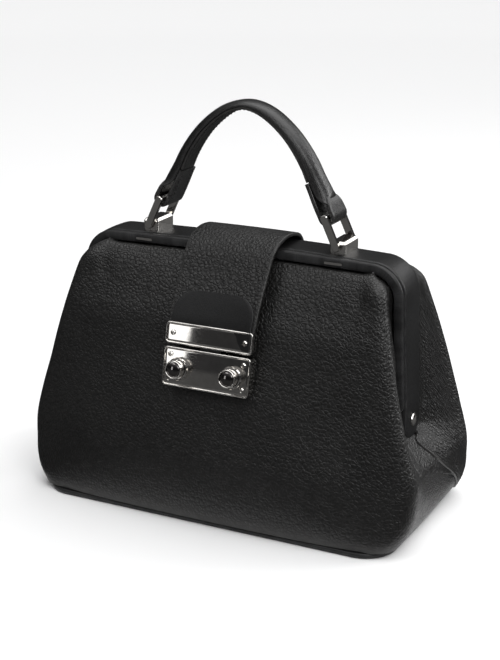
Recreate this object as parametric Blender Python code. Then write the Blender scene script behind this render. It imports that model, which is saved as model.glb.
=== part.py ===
"""Doctor bag: a leather frame bag with a swinging front frame, a closing flap with a push-button lock,
and a handle on two rings. Metres, +Z up, front towards -Y, origin at the bottom centre of the base."""

import math

import bmesh
import bpy
import numpy as np
from mathutils import Matrix, Vector

for old in list(bpy.data.objects):
    bpy.data.objects.remove(old, do_unlink=True)

GAP = 0.0003
WALL = 0.0024

# Leather body: height, corner x, corner |y|, middle |y|, end x at the fold
BODY = (
    (0.0033, 0.1155, 0.0590, 0.0622, 0.1155),
    (0.0220, 0.1225, 0.0560, 0.0630, 0.1180),
    (0.0450, 0.1270, 0.0515, 0.0610, 0.1178),
    (0.0500, 0.1262, 0.0508, 0.0598, 0.1130),
    (0.0560, 0.1245, 0.0495, 0.0582, 0.1062),
    (0.0700, 0.1208, 0.0470, 0.0544, 0.1042),
    (0.0950, 0.1140, 0.0425, 0.0466, 0.1030),
    (0.1200, 0.1075, 0.0375, 0.0398, 0.1022),
    (0.1500, 0.0995, 0.0285, 0.0232, 0.1012),
    (0.1550, 0.0880, 0.0215, 0.0178, 0.0960),
)
CORNER_ROUND = 0.009
TUB_TOP = 0.0450
END_TOP = 0.0620
PANEL_TOP = 0.1548
BASE_HALF = (0.1165, 0.0622)
BASE_CORNER = 0.020
BASE_THICK = 0.0030

# Frame: leather-covered band over two steel bars that turn on end rivets
PIVOT_Z = 0.0650
ARM_X = ((0.0530, 0.1083), (0.0750, 0.1083), (0.1050, 0.1068), (0.1340, 0.1056))
FRAME_CORNER = 0.0270
ROOF_Z = 0.1610
ROOF_CROWN = 0.0015
COVER_Y = (-0.0120, 0.0110)
COVER_THICK = 0.0036
LUG_RADIUS = 0.0115
RIM_DEPTH = 0.0064
FRONT_RIM_Y = (-0.0162, -0.0123)
BACK_RIM_Y = (0.0113, 0.0126)
BAR_THICK = 0.0020
RIVET_RADIUS = 0.0018
RIVET_HEAD = 0.0040

# Handle on two rings
BRACKET_X = 0.0620
BRACKET = (0.0100, 0.0200)
BRACKET_Z = (0.1618, 0.1695)
RING_PIVOT_Z = 0.1662
RING_LENGTH = 0.0180
RING_LEAN = math.radians(25)
RING_BAR = 0.0016
CHEEK_Y = 0.01175
CHEEK = (0.0046, 0.0025)
HANDLE = (
    (0.0000, 0.2452, 0.0050),
    (0.0080, 0.2441, 0.0054),
    (0.0160, 0.2411, 0.0061),
    (0.0240, 0.2359, 0.0066),
    (0.0320, 0.2288, 0.0071),
    (0.0390, 0.2206, 0.0078),
    (0.0445, 0.2125, 0.0084),
    (0.0485, 0.2052, 0.0090),
)
HANDLE_HALF = 0.0076
LOOP_HALF = 0.0097
LOOP_RADIUS = 0.0025
LOOP_THICK = 0.0026
FACE_THICK = 0.0016

# Flap over the front, outer surface as y, z
FLAP = (
    (0.0153, 0.1588),
    (0.0148, 0.1618),
    (0.0130, 0.1646),
    (0.0095, 0.1668),
    (0.0045, 0.1682),
    (-0.0010, 0.1689),
    (-0.0070, 0.1690),
    (-0.0135, 0.1679),
    (-0.0192, 0.1655),
    (-0.0236, 0.1618),
    (-0.0272, 0.1570),
    (-0.0308, 0.1508),
    (-0.0366, 0.1412),
    (-0.0422, 0.1317),
    (-0.0478, 0.1215),
)
FLAP_THICK = 0.0022
FLAP_HALF = 0.0292
FLAP_PIVOT = (0.0142, 0.1584)
PATCH_THICK = 0.0009
PATCH_TOP = 0.1385
PATCH_INSET = 0.0020
ANCHOR = ((0.0212, 0.1574), (0.0234, 0.1562), (0.0258, 0.1538), (0.0296, 0.1490), (0.0340, 0.1420))

# Lock, measured up its own sloping face from its lower edge
LOCK_ORIGIN = Vector((0, -0.0580, 0.0837))
LOCK_TILT = math.radians(12)
LOCK_WIDTH = 0.0570
LOCK_HEIGHT = 0.0233
HASP_UP = (0.0251, 0.0381)
LOCK_DEPTH = 0.0071
BUTTON_X = 0.0175
BUTTON_UP = 0.0108
BUTTON_RADIUS = 0.0054
BUTTON_HEIGHT = 0.0084
STEM_RADIUS = 0.0026
SCREW_RADIUS = 0.0016


def finish(name, colour, roughness, metallic=0.0):
    material = bpy.data.materials.new(name)
    material.use_nodes = True
    shader = material.node_tree.nodes["Principled BSDF"]
    shader.inputs["Base Color"].default_value = (*colour, 1)
    shader.inputs["Roughness"].default_value = roughness
    shader.inputs["Metallic"].default_value = metallic
    material.diffuse_color = (*colour, 1)
    return material


PEBBLED = finish("pebbled_leather", (0.014, 0.014, 0.015), 0.5)
SMOOTH = finish("smooth_leather", (0.011, 0.011, 0.012), 0.36)
NICKEL = finish("nickel", (0.72, 0.70, 0.67), 0.18, 1.0)
STEEL = finish("steel", (0.42, 0.42, 0.43), 0.38, 1.0)
BOARD = finish("board", (0.05, 0.045, 0.04), 0.7)


def place(name, mesh, material, sharp=35):
    """One object from a bmesh, smooth-shaded apart from edges sharper than the angle given in degrees."""
    bmesh.ops.remove_doubles(mesh, verts=mesh.verts, dist=1e-7)
    bmesh.ops.recalc_face_normals(mesh, faces=mesh.faces)
    for face in mesh.faces:
        face.smooth = True
    for edge in mesh.edges:
        if len(edge.link_faces) == 2 and edge.calc_face_angle(0) > math.radians(sharp):
            edge.smooth = False
    data = bpy.data.meshes.new(name)
    mesh.to_mesh(data)
    mesh.free()
    data.materials.append(material)
    thing = bpy.data.objects.new(name, data)
    bpy.context.scene.collection.objects.link(thing)
    return thing


def set_origin(thing, point):
    """Moves an object's origin to a point, leaving its shape where it is."""
    thing.data.transform(Matrix.Translation(-Vector(point)))
    thing.location = point
    return thing


def loft(name, rings, material, sharp=35):
    """A closed solid through closed rings of equal length, with flat ends."""
    mesh = bmesh.new()
    rows = [[mesh.verts.new(point) for point in ring] for ring in rings]
    count = len(rows[0])
    for low, high in zip(rows, rows[1:]):
        for i in range(count):
            j = (i + 1) % count
            mesh.faces.new((low[i], low[j], high[j], high[i]))
    mesh.faces.new(rows[0])
    mesh.faces.new(list(reversed(rows[-1])))
    return place(name, mesh, material, sharp)


def shell(name, outer, inner, material):
    """A closed wall between two grids of points of the same size."""
    mesh = bmesh.new()
    faces = [[[mesh.verts.new(point) for point in row] for row in side] for side in (outer, inner)]
    high, wide = len(outer), len(outer[0])
    for grid in faces:
        for i in range(high - 1):
            for j in range(wide - 1):
                mesh.faces.new((grid[i][j], grid[i][j + 1], grid[i + 1][j + 1], grid[i + 1][j]))
    out, inn = faces
    for i in range(high - 1):
        for j in (0, wide - 1):
            mesh.faces.new((out[i][j], out[i + 1][j], inn[i + 1][j], inn[i][j]))
    for j in range(wide - 1):
        for i in (0, high - 1):
            mesh.faces.new((out[i][j], out[i][j + 1], inn[i][j + 1], inn[i][j]))
    return place(name, mesh, material)


def band(name, points, side, spans, outer, inner, material, edge=0.0008):
    """A strip swept along a planar path: side is its width's direction, spans its width's limits along it."""
    points = [Vector(point) for point in points]
    side = Vector(side)
    rings = []
    for i, point in enumerate(points):
        along = points[min(i + 1, len(points) - 1)] - points[max(i - 1, 0)]
        normal = along.cross(side).normalized()
        low, high = spans[i]
        section = (
            (low, inner),
            (low, outer - edge),
            (low + edge, outer),
            (high - edge, outer),
            (high, outer - edge),
            (high, inner),
        )
        rings.append([point + side * across + normal * off for across, off in section])
    return loft(name, rings, material)


def turned(name, profile, matrix, material, segments=24, sharp=35):
    """A solid of revolution about the matrix's Z; a profile that starts and ends off the axis is a ring."""
    mesh = bmesh.new()
    rows = []
    for radius, height in profile:
        if radius == 0:
            rows.append([mesh.verts.new((0, 0, height))])
            continue
        turn = [2 * math.pi * i / segments for i in range(segments)]
        rows.append([mesh.verts.new((radius * math.cos(a), radius * math.sin(a), height)) for a in turn])
    pairs = list(zip(rows, rows[1:]))
    if profile[0][0] > 0:
        pairs.append((rows[-1], rows[0]))
    for low, high in pairs:
        for i in range(segments):
            j = (i + 1) % segments
            corners = [low[i % len(low)], low[j % len(low)], high[j % len(high)], high[i % len(high)]]
            mesh.faces.new(list(dict.fromkeys(corners)))
    bmesh.ops.transform(mesh, matrix=matrix, verts=mesh.verts)
    return place(name, mesh, material, sharp)


def outline(width, height, radius, steps=4):
    """Corner-rounded rectangle as x, y pairs, anticlockwise."""
    points = []
    for quarter in range(4):
        sx = (1, -1, -1, 1)[quarter]
        sy = (1, 1, -1, -1)[quarter]
        for step in range(steps + 1):
            a = math.radians(90 * (quarter + step / steps))
            x = sx * (width / 2 - radius) + radius * math.cos(a)
            points.append((x, sy * (height / 2 - radius) + radius * math.sin(a)))
    return points


def slab(name, levels, matrix, material, sharp=35, steps=4):
    """A rounded-rectangle solid through levels of height, width, length and corner radius."""
    rings = []
    for level, width, height, radius in levels:
        rings.append([matrix @ Vector((x, y, level)) for x, y in outline(width, height, radius, steps)])
    return loft(name, rings, material, sharp)


def combine(thing, other, operation):
    """Joins or cuts with a helper object that no render shows."""
    other.hide_render = True
    other.display_type = "WIRE"
    modifier = thing.modifiers.new(operation.lower(), "BOOLEAN")
    modifier.operation = operation
    modifier.object = other
    modifier.solver = "EXACT"
    return thing


# --- Leather body -----------------------------------------------------------------------------------


def body_at(z, column):
    heights = [row[0] for row in BODY]
    return float(np.interp(z, heights, [row[column] for row in BODY]))


def corner_points(z, inset=(0, 0)):
    """Right half of the front's section at a height, from the middle round the corner: x, |y| pairs."""
    corner_x = body_at(z, 1) - inset[0]
    corner_y = body_at(z, 2) - inset[1]
    middle_y = body_at(z, 3) - inset[1]
    end_x = body_at(z, 4) - inset[0]
    start_x = corner_x - CORNER_ROUND
    points = []
    for share in (0, 0.2, 0.4, 0.6, 0.8, 0.92):
        points.append((start_x * share, middle_y - (middle_y - corner_y) * share**3))
    start = Vector((start_x, corner_y + 0.0004))
    bend = Vector((corner_x, corner_y))
    away = (Vector((end_x, 0.014)) - bend).normalized()
    stop = bend + away * min(CORNER_ROUND, (corner_y - 0.0185) / max(0.1, -away.y))
    for step in (0, 0.25, 0.5, 0.75, 1):
        spot = start * (1 - step) ** 2 + bend * 2 * step * (1 - step) + stop * step**2
        points.append((spot.x, spot.y))
    return points


def inward(points, distance):
    """Offsets an open x, y polyline to its left side."""
    moved = []
    for i, point in enumerate(points):
        here = Vector(point)
        along = Vector(points[min(i + 1, len(points) - 1)]) - Vector(points[max(i - 1, 0)])
        moved.append(here + Vector((-along.y, along.x)).normalized() * distance)
    return moved


def front_section(z, inset=(0, 0)):
    """Whole front section at a height, left to right, seen from above with the front at -Y."""
    half = corner_points(z, inset)
    right = [(x, -y) for x, y in half]
    left = [(-x, -y) for x, y in reversed(half[1:])]
    return left + right


def wall(name, levels, section, flip, material):
    """A wall through sections at given heights; flip puts it at the back."""
    turn = -1 if flip else 1
    outer, inner = [], []
    for z in levels:
        points = section(z)
        outer.append([(x * turn, y * turn, z) for x, y in points])
        inner.append([(p.x * turn, p.y * turn, z) for p in inward(points, WALL)])
    return shell(name, outer, inner, material)


TUB_LEVELS = (BASE_THICK + GAP, 0.012, 0.022, 0.033, TUB_TOP)
PANEL_LEVELS = (0.0465, 0.052, 0.058, 0.065, 0.073, 0.084, 0.095, 0.108, 0.120, 0.135, 0.150, PANEL_TOP)
BACK_LEVELS = TUB_LEVELS + (0.050, 0.056, 0.063, 0.070) + PANEL_LEVELS[5:]


def visor_inset(z):
    """How far the swinging panel is set in where it sinks behind the lower walls."""
    across = float(np.interp(z, (0.046, 0.055, 0.065, 0.075), (0.0115, 0.0085, 0.0045, 0.0)))
    deep = float(np.interp(z, (0.046, 0.060, 0.080), (0.0032, 0.0020, 0.0)))
    return across, deep


wall("panel_front_lower", TUB_LEVELS, front_section, False, PEBBLED)
wall("panel_back", BACK_LEVELS, front_section, True, PEBBLED)
wall("panel_front_upper", PANEL_LEVELS, lambda z: front_section(z, visor_inset(z)), False, PEBBLED)


def end_section(z, from_y, to_y, steps, inset=0.0):
    """Right end's section between two y values, from front to back."""
    ahead = Vector(corner_points(z)[-1])
    fold_x = body_at(z, 4) - inset
    points = []
    for i in range(steps + 1):
        y = from_y + (to_y - from_y) * i / steps
        share = min(1, max(0, (abs(y) - 0.014) / (ahead.y - 0.014)))
        ease = share * share * (3 - 2 * share) * 0.35 + share * 0.65
        points.append((fold_x + (ahead.x - inset - fold_x) * ease, y))
    return points


def end_top(y):
    return float(np.interp(abs(y), (0.013, 0.017, 0.024, 0.030), (0.0530, 0.0545, 0.0600, END_TOP)))


def end_walls():
    """The low ends between the front and back corners, cut lower under the frame's lugs."""
    rows = 7
    outer, inner = [], []
    for i in range(rows):
        out_row, in_row = [], []
        for j in range(25):
            share = j / 24
            z_low = BASE_THICK + GAP
            y_guess = -0.0505 + 0.101 * share
            z = z_low + (end_top(y_guess) - z_low) * i / (rows - 1)
            reach = corner_points(z)[-1][1] - 2 * GAP
            y = -reach + 2 * reach * share
            section = end_section(z, y - 0.0005, y + 0.0005, 2)
            x = section[1][0]
            slope = (section[2][0] - section[0][0]) / 0.001
            normal = Vector((-1, slope)).normalized() * WALL
            out_row.append((x, y, z))
            in_row.append((x + normal.x, y + normal.y, z))
        outer.append(out_row)
        inner.append(in_row)
    for side, name in ((1, "end_right"), (-1, "end_left")):
        flipped = [[[(p[0] * side, p[1], p[2]) for p in row] for row in grid] for grid in (outer, inner)]
        shell(name, flipped[0], flipped[1], SMOOTH)


end_walls()


def wings(name, levels, back, y_stop, set_in):
    """Folded gussets between the corners and the frame's arms, above the low ends."""
    outer, inner = [], []
    for z in levels:
        shift = set_in(z)
        reach = corner_points(z, (shift, visor_inset(z)[1] if shift else 0))[-1][1] - 2 * GAP
        points = end_section(z, -reach, -y_stop, 6, shift)
        if back:
            points = [(x, -y) for x, y in reversed(points)]
        outer.append([(x, y, z) for x, y in points])
        inner.append([(p.x, p.y, z) for p in inward(points, WALL)])
    for side, end in ((1, "right"), (-1, "left")):
        flipped = [[[(p[0] * side, p[1], p[2]) for p in row] for row in grid] for grid in (outer, inner)]
        shell(f"{name}_{end}", flipped[0], flipped[1], PEBBLED)


WING_LEVELS = (0.0625, 0.070, 0.080, 0.095, 0.108, 0.120, 0.133, 0.148)
wings("gusset_front", WING_LEVELS, False, 0.0170, lambda z: max(0.0006, visor_inset(z)[0]))
wings("gusset_back", WING_LEVELS, True, 0.0156, lambda z: 0.0)

base = [(z, 2 * BASE_HALF[0], 2 * BASE_HALF[1], BASE_CORNER) for z in (0.0006, BASE_THICK)]
base.insert(0, (0, 2 * BASE_HALF[0] - 0.001, 2 * BASE_HALF[1] - 0.001, BASE_CORNER - 0.0005))
slab("base_panel", base, Matrix(), SMOOTH, steps=6)
board = [(z, 0.214, 0.108, 0.016) for z in (BASE_THICK + GAP, BASE_THICK + GAP + 0.0022)]
slab("base_board", board, Matrix(), BOARD, steps=6)


# --- Frame ------------------------------------------------------------------------------------------


def frame_path(low_z):
    """The frame's outer line in the XZ plane, from the left arm's foot over the roof to the right one's."""
    arm_top = ROOF_Z - FRAME_CORNER
    heights = [z for z in (low_z, 0.072, 0.080, 0.092, 0.105, 0.120) if z >= low_z]
    right = [(float(np.interp(z, *zip(*ARM_X))), z) for z in dict.fromkeys(heights)]
    centre_x = ARM_X[-1][1] - FRAME_CORNER
    for step in range(7):
        a = math.radians(15 * step)
        right.append((centre_x + FRAME_CORNER * math.cos(a), arm_top + FRAME_CORNER * math.sin(a)))
    for x in (0.060, 0.040, 0.020):
        right.append((x, ROOF_Z + ROOF_CROWN * (1 - (x / centre_x) ** 2)))
    points = [(-x, z) for x, z in right] + [(0, ROOF_Z + ROOF_CROWN)]
    return points + list(reversed(right))


def lug_path(radius, arm_from):
    """The same line with its feet carried down round the pivot, and each point's share of full width."""
    line = frame_path(arm_from)
    foot = []
    for degrees in (78, 62, 45, 25, 0):
        a = math.radians(degrees)
        foot.append((ARM_X[0][1], PIVOT_Z - radius * math.sin(a), math.cos(a)))
    points = [(-x, z, share) for x, z, share in foot]
    points += [(x, z, None) for x, z in line]
    return points + [(x, z, share) for x, z, share in reversed(foot)]


def frame_strip(name, radius, width, lug_centre, outer, inner, material, edge):
    """A band over the frame's line whose feet are rounded lugs about the pivot."""
    points = lug_path(radius, 0.080)
    spans = []
    for x, z, share in points:
        if share is None:
            spans.append(width)
        else:
            spans.append((lug_centre - radius * share, lug_centre + radius * share))
    path = [(x, 0, z) for x, z, share in points]
    strip = band(name, path, (0, 1, 0), spans, outer, inner, material, edge)
    for side in (1, -1):
        hole = turned(
            f"{name}_hole_{side + 1}",
            [(0, -0.02), (RIVET_RADIUS + 0.0001, -0.02), (RIVET_RADIUS + 0.0001, 0.02), (0, 0.02)],
            Matrix.Translation((side * 0.104, 0, PIVOT_Z)) @ Matrix.Rotation(math.pi / 2, 4, "Y"),
            material,
            32,
        )
        combine(strip, hole, "DIFFERENCE")
    return strip


FRONT_BAR_OFF = -COVER_THICK - 0.0006
BACK_BAR_OFF = FRONT_BAR_OFF - BAR_THICK - 0.0004
frame_strip("frame_cover", LUG_RADIUS, COVER_Y, -0.0005, 0, -COVER_THICK, SMOOTH, 0.0010)
frame_strip("frame_bar_front", 0.0065, (-0.0112, -0.0030), 0, FRONT_BAR_OFF, FRONT_BAR_OFF - BAR_THICK, STEEL, 0.0003)
frame_strip("frame_bar_back", 0.0065, (0.0020, 0.0102), 0, BACK_BAR_OFF, BACK_BAR_OFF - BAR_THICK, STEEL, 0.0003)


def rim(name, low_z, span, outer, material):
    """A rolled leather edge beside the cover, ending part of the way down each arm."""
    path = [(x, 0, z) for x, z in frame_path(low_z)]
    spans = [span] * len(path)
    return band(name, path, (0, 1, 0), spans, outer, -RIM_DEPTH, material, (span[1] - span[0]) / 3)


rim("rim_front", 0.0735, FRONT_RIM_Y, -0.0002, SMOOTH)
rim("rim_back", 0.0970, BACK_RIM_Y, -0.0022, SMOOTH)

for side, end in ((1, "right"), (-1, "left")):
    outside = ARM_X[0][1] + GAP
    inside = ARM_X[0][1] + BACK_BAR_OFF - BAR_THICK - GAP
    profile = [
        (0, inside - 0.0012),
        (RIVET_HEAD * 0.8, inside - 0.0012),
        (RIVET_HEAD * 0.8, inside),
        (RIVET_RADIUS, inside),
        (RIVET_RADIUS, outside),
        (RIVET_HEAD, outside),
        (RIVET_HEAD * 0.93, outside + 0.0006),
        (RIVET_HEAD * 0.6, outside + 0.0012),
        (0, outside + 0.0015),
    ]
    turn = Matrix.Translation((0, 0, PIVOT_Z)) @ Matrix.Rotation(side * math.pi / 2, 4, "Y")
    set_origin(turned(f"rivet_{end}", profile, turn, NICKEL, 32), (side * ARM_X[0][1], 0, PIVOT_Z))
    clip = [(y, 0.0110, 0.0034, 0.0008) for y in (0, 0.0009)]
    lay = Matrix.Translation((side * 0.0625, FRONT_RIM_Y[0] - GAP, 0.1584)) @ Matrix.Rotation(math.pi / 2, 4, "X")
    slab(f"clip_{end}", clip, lay, NICKEL, steps=3)


# --- Brackets, rings and handle ---------------------------------------------------------------------


def bracket(side, end):
    low, high = BRACKET_Z
    wide, deep = BRACKET
    levels = (
        (low, wide, deep, 0.0012),
        (high - 0.0014, wide, deep, 0.0012),
        (high, wide - 0.0024, deep - 0.0020, 0.0010),
    )
    block = slab(f"bracket_{end}", levels, Matrix.Translation((side * BRACKET_X, 0, 0)), NICKEL)
    bore = turned(
        f"bracket_bore_{end}",
        [(0, -0.02), (RING_BAR + 0.00015, -0.02), (RING_BAR + 0.00015, 0.02), (0, 0.02)],
        Matrix.Translation((side * BRACKET_X, 0, RING_PIVOT_Z)) @ Matrix.Rotation(math.pi / 2, 4, "X"),
        NICKEL,
        24,
    )
    return combine(block, bore, "DIFFERENCE")


def ring_frame(side):
    """Places a ring: its lower bar at the origin, its upper bar up the local Z, leaning towards the middle."""
    return Matrix.Translation((side * BRACKET_X, 0, RING_PIVOT_Z)) @ Matrix.Rotation(-side * RING_LEAN, 4, "Y")


def ring(side, end):
    frame = ring_frame(side)
    wide, thick = CHEEK
    middle = frame @ Matrix.Translation((0, 0, RING_LENGTH / 2)) @ Matrix.Rotation(math.pi / 2, 4, "X")
    cheeks = []
    for row, y in enumerate((-CHEEK_Y, CHEEK_Y)):
        levels = (
            (-y - thick / 2, wide - 0.0008, RING_LENGTH + 0.0036, 0.0014),
            (-y - thick / 2 + 0.0004, wide, RING_LENGTH + 0.0044, 0.0017),
            (-y + thick / 2 - 0.0004, wide, RING_LENGTH + 0.0044, 0.0017),
            (-y + thick / 2, wide - 0.0008, RING_LENGTH + 0.0036, 0.0014),
        )
        cheeks.append(slab(f"ring_{end}" if row == 0 else f"ring_cheek_{end}", levels, middle, NICKEL))
    whole = cheeks[0]
    combine(whole, cheeks[1], "UNION")
    for row, height in enumerate((0, RING_LENGTH)):
        bar = turned(
            f"ring_rod_{end}_{row}",
            [(0, -CHEEK_Y), (RING_BAR, -CHEEK_Y), (RING_BAR, CHEEK_Y), (0, CHEEK_Y)],
            frame @ Matrix.Translation((0, 0, height)) @ Matrix.Rotation(math.pi / 2, 4, "X"),
            NICKEL,
            24,
        )
        combine(whole, bar, "UNION")
    return set_origin(whole, (side * BRACKET_X, 0, RING_PIVOT_Z))


for side, end in ((1, "right"), (-1, "left")):
    bracket(side, end)
    ring(side, end)

LOOP_AT = ring_frame(1) @ Vector((0, 0, RING_LENGTH))
END_ALONG = Vector((-0.447, 0, 0.894)).normalized()
END_OUT = Vector((END_ALONG.z, 0, -END_ALONG.x))
LEG_OUTER = 0.0084
LEG_INNER = 0.0185


def handle_line():
    """The grip's outer line and its inner offsets, right half, from the end up to the middle."""
    rows = []
    outside = LOOP_RADIUS + LOOP_THICK
    for along, thick, half in ((0.0087, 0.0068, 0.0090), (0.0110, 0.0072, 0.0084), (0.0145, 0.0072, 0.0079)):
        spot = LOOP_AT + END_ALONG * along + END_OUT * outside
        rows.append((spot.x, spot.z, thick, half))
    for x, z, thick in reversed(HANDLE):
        rows.append((x, z, thick - FACE_THICK - GAP, HANDLE_HALF))
    return rows


def grip():
    rows = handle_line()
    points = rows + [(-x, z, thick, half) for x, z, thick, half in reversed(rows[:-1])]
    rings = []
    for i, (x, z, thick, half) in enumerate(points):
        ahead = points[min(i + 1, len(points) - 1)]
        behind = points[max(i - 1, 0)]
        along = Vector((ahead[0] - behind[0], 0, ahead[1] - behind[1]))
        out = Vector((0, 1, 0)).cross(along).normalized()
        if out.dot(Vector((x, 0, z - 0.18))) < 0:
            out = -out
        section = [(-half + 0.0004, -thick), (half - 0.0004, -thick)]
        for degrees in (8, 30, 52, 72, 90, 108, 128, 150, 172):
            a = math.radians(degrees)
            section.append((half * math.cos(a), -thick * 0.88 + thick * 0.88 * math.sin(a)))
        rings.append([Vector((x, y, z)) + out * off for y, off in section])
    return loft("handle_grip", rings, SMOOTH, 50)


def inner_face():
    """The flat strip sewn under the grip, between the two loops' ends."""
    half = []
    for i, (x, z, thick) in enumerate(HANDLE[:-1]):
        ahead = HANDLE[i + 1]
        behind = HANDLE[max(i - 1, 0)]
        along = Vector((ahead[0] - behind[0], 0, ahead[1] - behind[1])) if i else Vector((1, 0, 0))
        out = Vector((-along.z, 0, along.x)).normalized()
        half.append(Vector((x, 0, z)) - out * (thick - FACE_THICK))
    path = [Vector((-p.x, 0, p.z)) for p in reversed(half[1:])] + half
    spans = [(-HANDLE_HALF + 0.0003, HANDLE_HALF - 0.0003)] * len(path)
    return band("handle_face", path, (0, 1, 0), spans, 0, -FACE_THICK, PEBBLED, 0.0003)


def loop(side, end):
    """Strap that goes round a ring's upper bar: an outer leg under the grip, and an inner tab."""
    middle = LOOP_RADIUS + LOOP_THICK / 2
    path = [LOOP_AT + END_OUT * middle + END_ALONG * s for s in (LEG_OUTER, 0.0056, 0.0028, 0.0)]
    for degrees in (30, 60, 90, 120, 150, 180):
        a = math.radians(degrees)
        path.append(LOOP_AT + (END_OUT * math.cos(a) - END_ALONG * math.sin(a)) * middle)
    path += [LOOP_AT - END_OUT * middle + END_ALONG * s for s in (0.006, 0.012, LEG_INNER)]
    path = [Vector((p.x * side, 0, p.z)) for p in path]
    spans = [(-LOOP_HALF, LOOP_HALF)] * len(path)
    half = LOOP_THICK / 2
    return band(f"handle_loop_{end}", path, (0, 1, 0), spans, half, -half, SMOOTH, 0.0004)


HANDLE_PIVOT = Vector((-LOOP_AT.x, 0, LOOP_AT.z))
handle_parts = [grip(), inner_face(), loop(1, "right"), loop(-1, "left")]
for thing in handle_parts:
    set_origin(thing, HANDLE_PIVOT)


# --- Lock, hasp and flap ----------------------------------------------------------------------------

UP = Vector((0, math.sin(LOCK_TILT), math.cos(LOCK_TILT)))
OUT = Vector((0, -math.cos(LOCK_TILT), math.sin(LOCK_TILT)))


def on_lock(x, up, out):
    return LOCK_ORIGIN + Vector((x, 0, 0)) + UP * up + OUT * out


def lock_frame(x, up, out):
    """A frame on the lock's face: X across, Y up the face, Z out of it."""
    columns = Matrix((Vector((1, 0, 0)), UP, OUT)).transposed().to_4x4()
    return Matrix.Translation(on_lock(x, up, out)) @ columns


def rimmed_plate(name, up, height, back, material):
    """A plate with a raised, rounded rim round a flat field."""
    wide = LOCK_WIDTH
    levels = (
        (back, wide, height, 0.0024),
        (0.0001, wide, height, 0.0024),
        (0.0006, wide - 0.0008, height - 0.0008, 0.0020),
        (0.0006, wide - 0.0026, height - 0.0026, 0.0014),
        (-0.0001, wide - 0.0034, height - 0.0034, 0.0011),
    )
    return slab(name, levels, lock_frame(0, up + height / 2, 0), material)


def screw(name, x, up, out):
    profile = ((0, 0), (SCREW_RADIUS, 0), (SCREW_RADIUS, 0.0004), (SCREW_RADIUS * 0.6, 0.0009), (0, 0.0010))
    head = turned(name, profile, lock_frame(x, up, out), NICKEL, 20)
    slot = slab(
        f"{name}_slot",
        ((0.0005, 0.0006, 0.0050, 0.0001), (0.0020, 0.0006, 0.0050, 0.0001)),
        lock_frame(x, up, out) @ Matrix.Rotation(math.radians(35), 4, "Z"),
        NICKEL,
        steps=1,
    )
    return combine(head, slot, "DIFFERENCE")


middle_up = LOCK_HEIGHT / 2
case_levels = [(out, LOCK_WIDTH - 0.0006, LOCK_HEIGHT - 0.0004, 0.0022) for out in (-LOCK_DEPTH, -0.0012)]
case = slab("lock_case", case_levels, lock_frame(0, middle_up, 0), NICKEL)
plate = rimmed_plate("lock_plate", 0, LOCK_HEIGHT, -0.0009, NICKEL)
slot = slab(
    "lock_case_slot",
    [(out, 0.0160, 0.0060, 0.0003) for out in (-0.0054, 0.001)],
    lock_frame(0, LOCK_HEIGHT + 0.0002, 0),
    NICKEL,
)
combine(case, slot, "DIFFERENCE")
for side, end in ((1, "right"), (-1, "left")):
    hole = turned(
        f"button_bore_{end}",
        [(0, -0.02), (STEM_RADIUS + 0.0003, -0.02), (STEM_RADIUS + 0.0003, 0.004), (0, 0.004)],
        lock_frame(side * BUTTON_X, BUTTON_UP, 0),
        NICKEL,
        24,
    )
    combine(case, hole, "DIFFERENCE")
    combine(plate, hole, "DIFFERENCE")
    collar = (
        (0.0057, 0.0002),
        (0.0068, 0.0002),
        (0.0068, 0.0022),
        (0.0063, 0.0031),
        (0.0057, 0.0033),
    )
    turned(f"button_collar_{end}", collar, lock_frame(side * BUTTON_X, BUTTON_UP, 0), NICKEL, 32)
    profile = (
        (0, -0.0050),
        (STEM_RADIUS, -0.0050),
        (STEM_RADIUS, 0.0029),
        (BUTTON_RADIUS, 0.0029),
        (BUTTON_RADIUS, BUTTON_HEIGHT - 0.0013),
        (BUTTON_RADIUS * 0.94, BUTTON_HEIGHT - 0.0005),
        (BUTTON_RADIUS * 0.80, BUTTON_HEIGHT),
        (0, BUTTON_HEIGHT + 0.0003),
    )
    button = turned(f"button_{end}", profile, lock_frame(side * BUTTON_X, BUTTON_UP, 0), NICKEL, 32)
    set_origin(button, on_lock(side * BUTTON_X, BUTTON_UP, 0))
    screw(f"hasp_screw_{end}", side * 0.0235, sum(HASP_UP) / 2, 0.0002)
    for row, up in (("low", 0.0045), ("high", LOCK_HEIGHT - 0.0045)):
        screw(f"lock_screw_{row}_{end}", side * 0.0240, up, 0.0002)

back_levels = [(out, 0.0500, 0.0180, 0.0020) for out in (-0.0127, -0.0116)]
slab("lock_backing", back_levels, lock_frame(0, middle_up + 0.0005, 0), STEEL)
hasp_height = HASP_UP[1] - HASP_UP[0]
rimmed_plate("hasp_front", HASP_UP[0], hasp_height, -0.0015, NICKEL)
hasp_levels = [(out, 0.0550, 0.0120, 0.0020) for out in (-0.0067, -0.0052)]
slab("hasp_back", hasp_levels, lock_frame(0, sum(HASP_UP) / 2, 0), NICKEL)
tongue_levels = [(out, 0.0130, 0.0050, 0.0006) for out in (-0.0046, -0.0030)]
slab("hasp_tongue", tongue_levels, lock_frame(0, 0.0235, 0), STEEL)


def profile_path(points):
    return [Vector((0, y, z)) for y, z in points]


def flap_strip(name, path, halves, outer, inner, material, edge):
    spans = [(-half, half) for half in halves]
    return band(name, path, (1, 0, 0), spans, outer, inner, material, edge)


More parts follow.
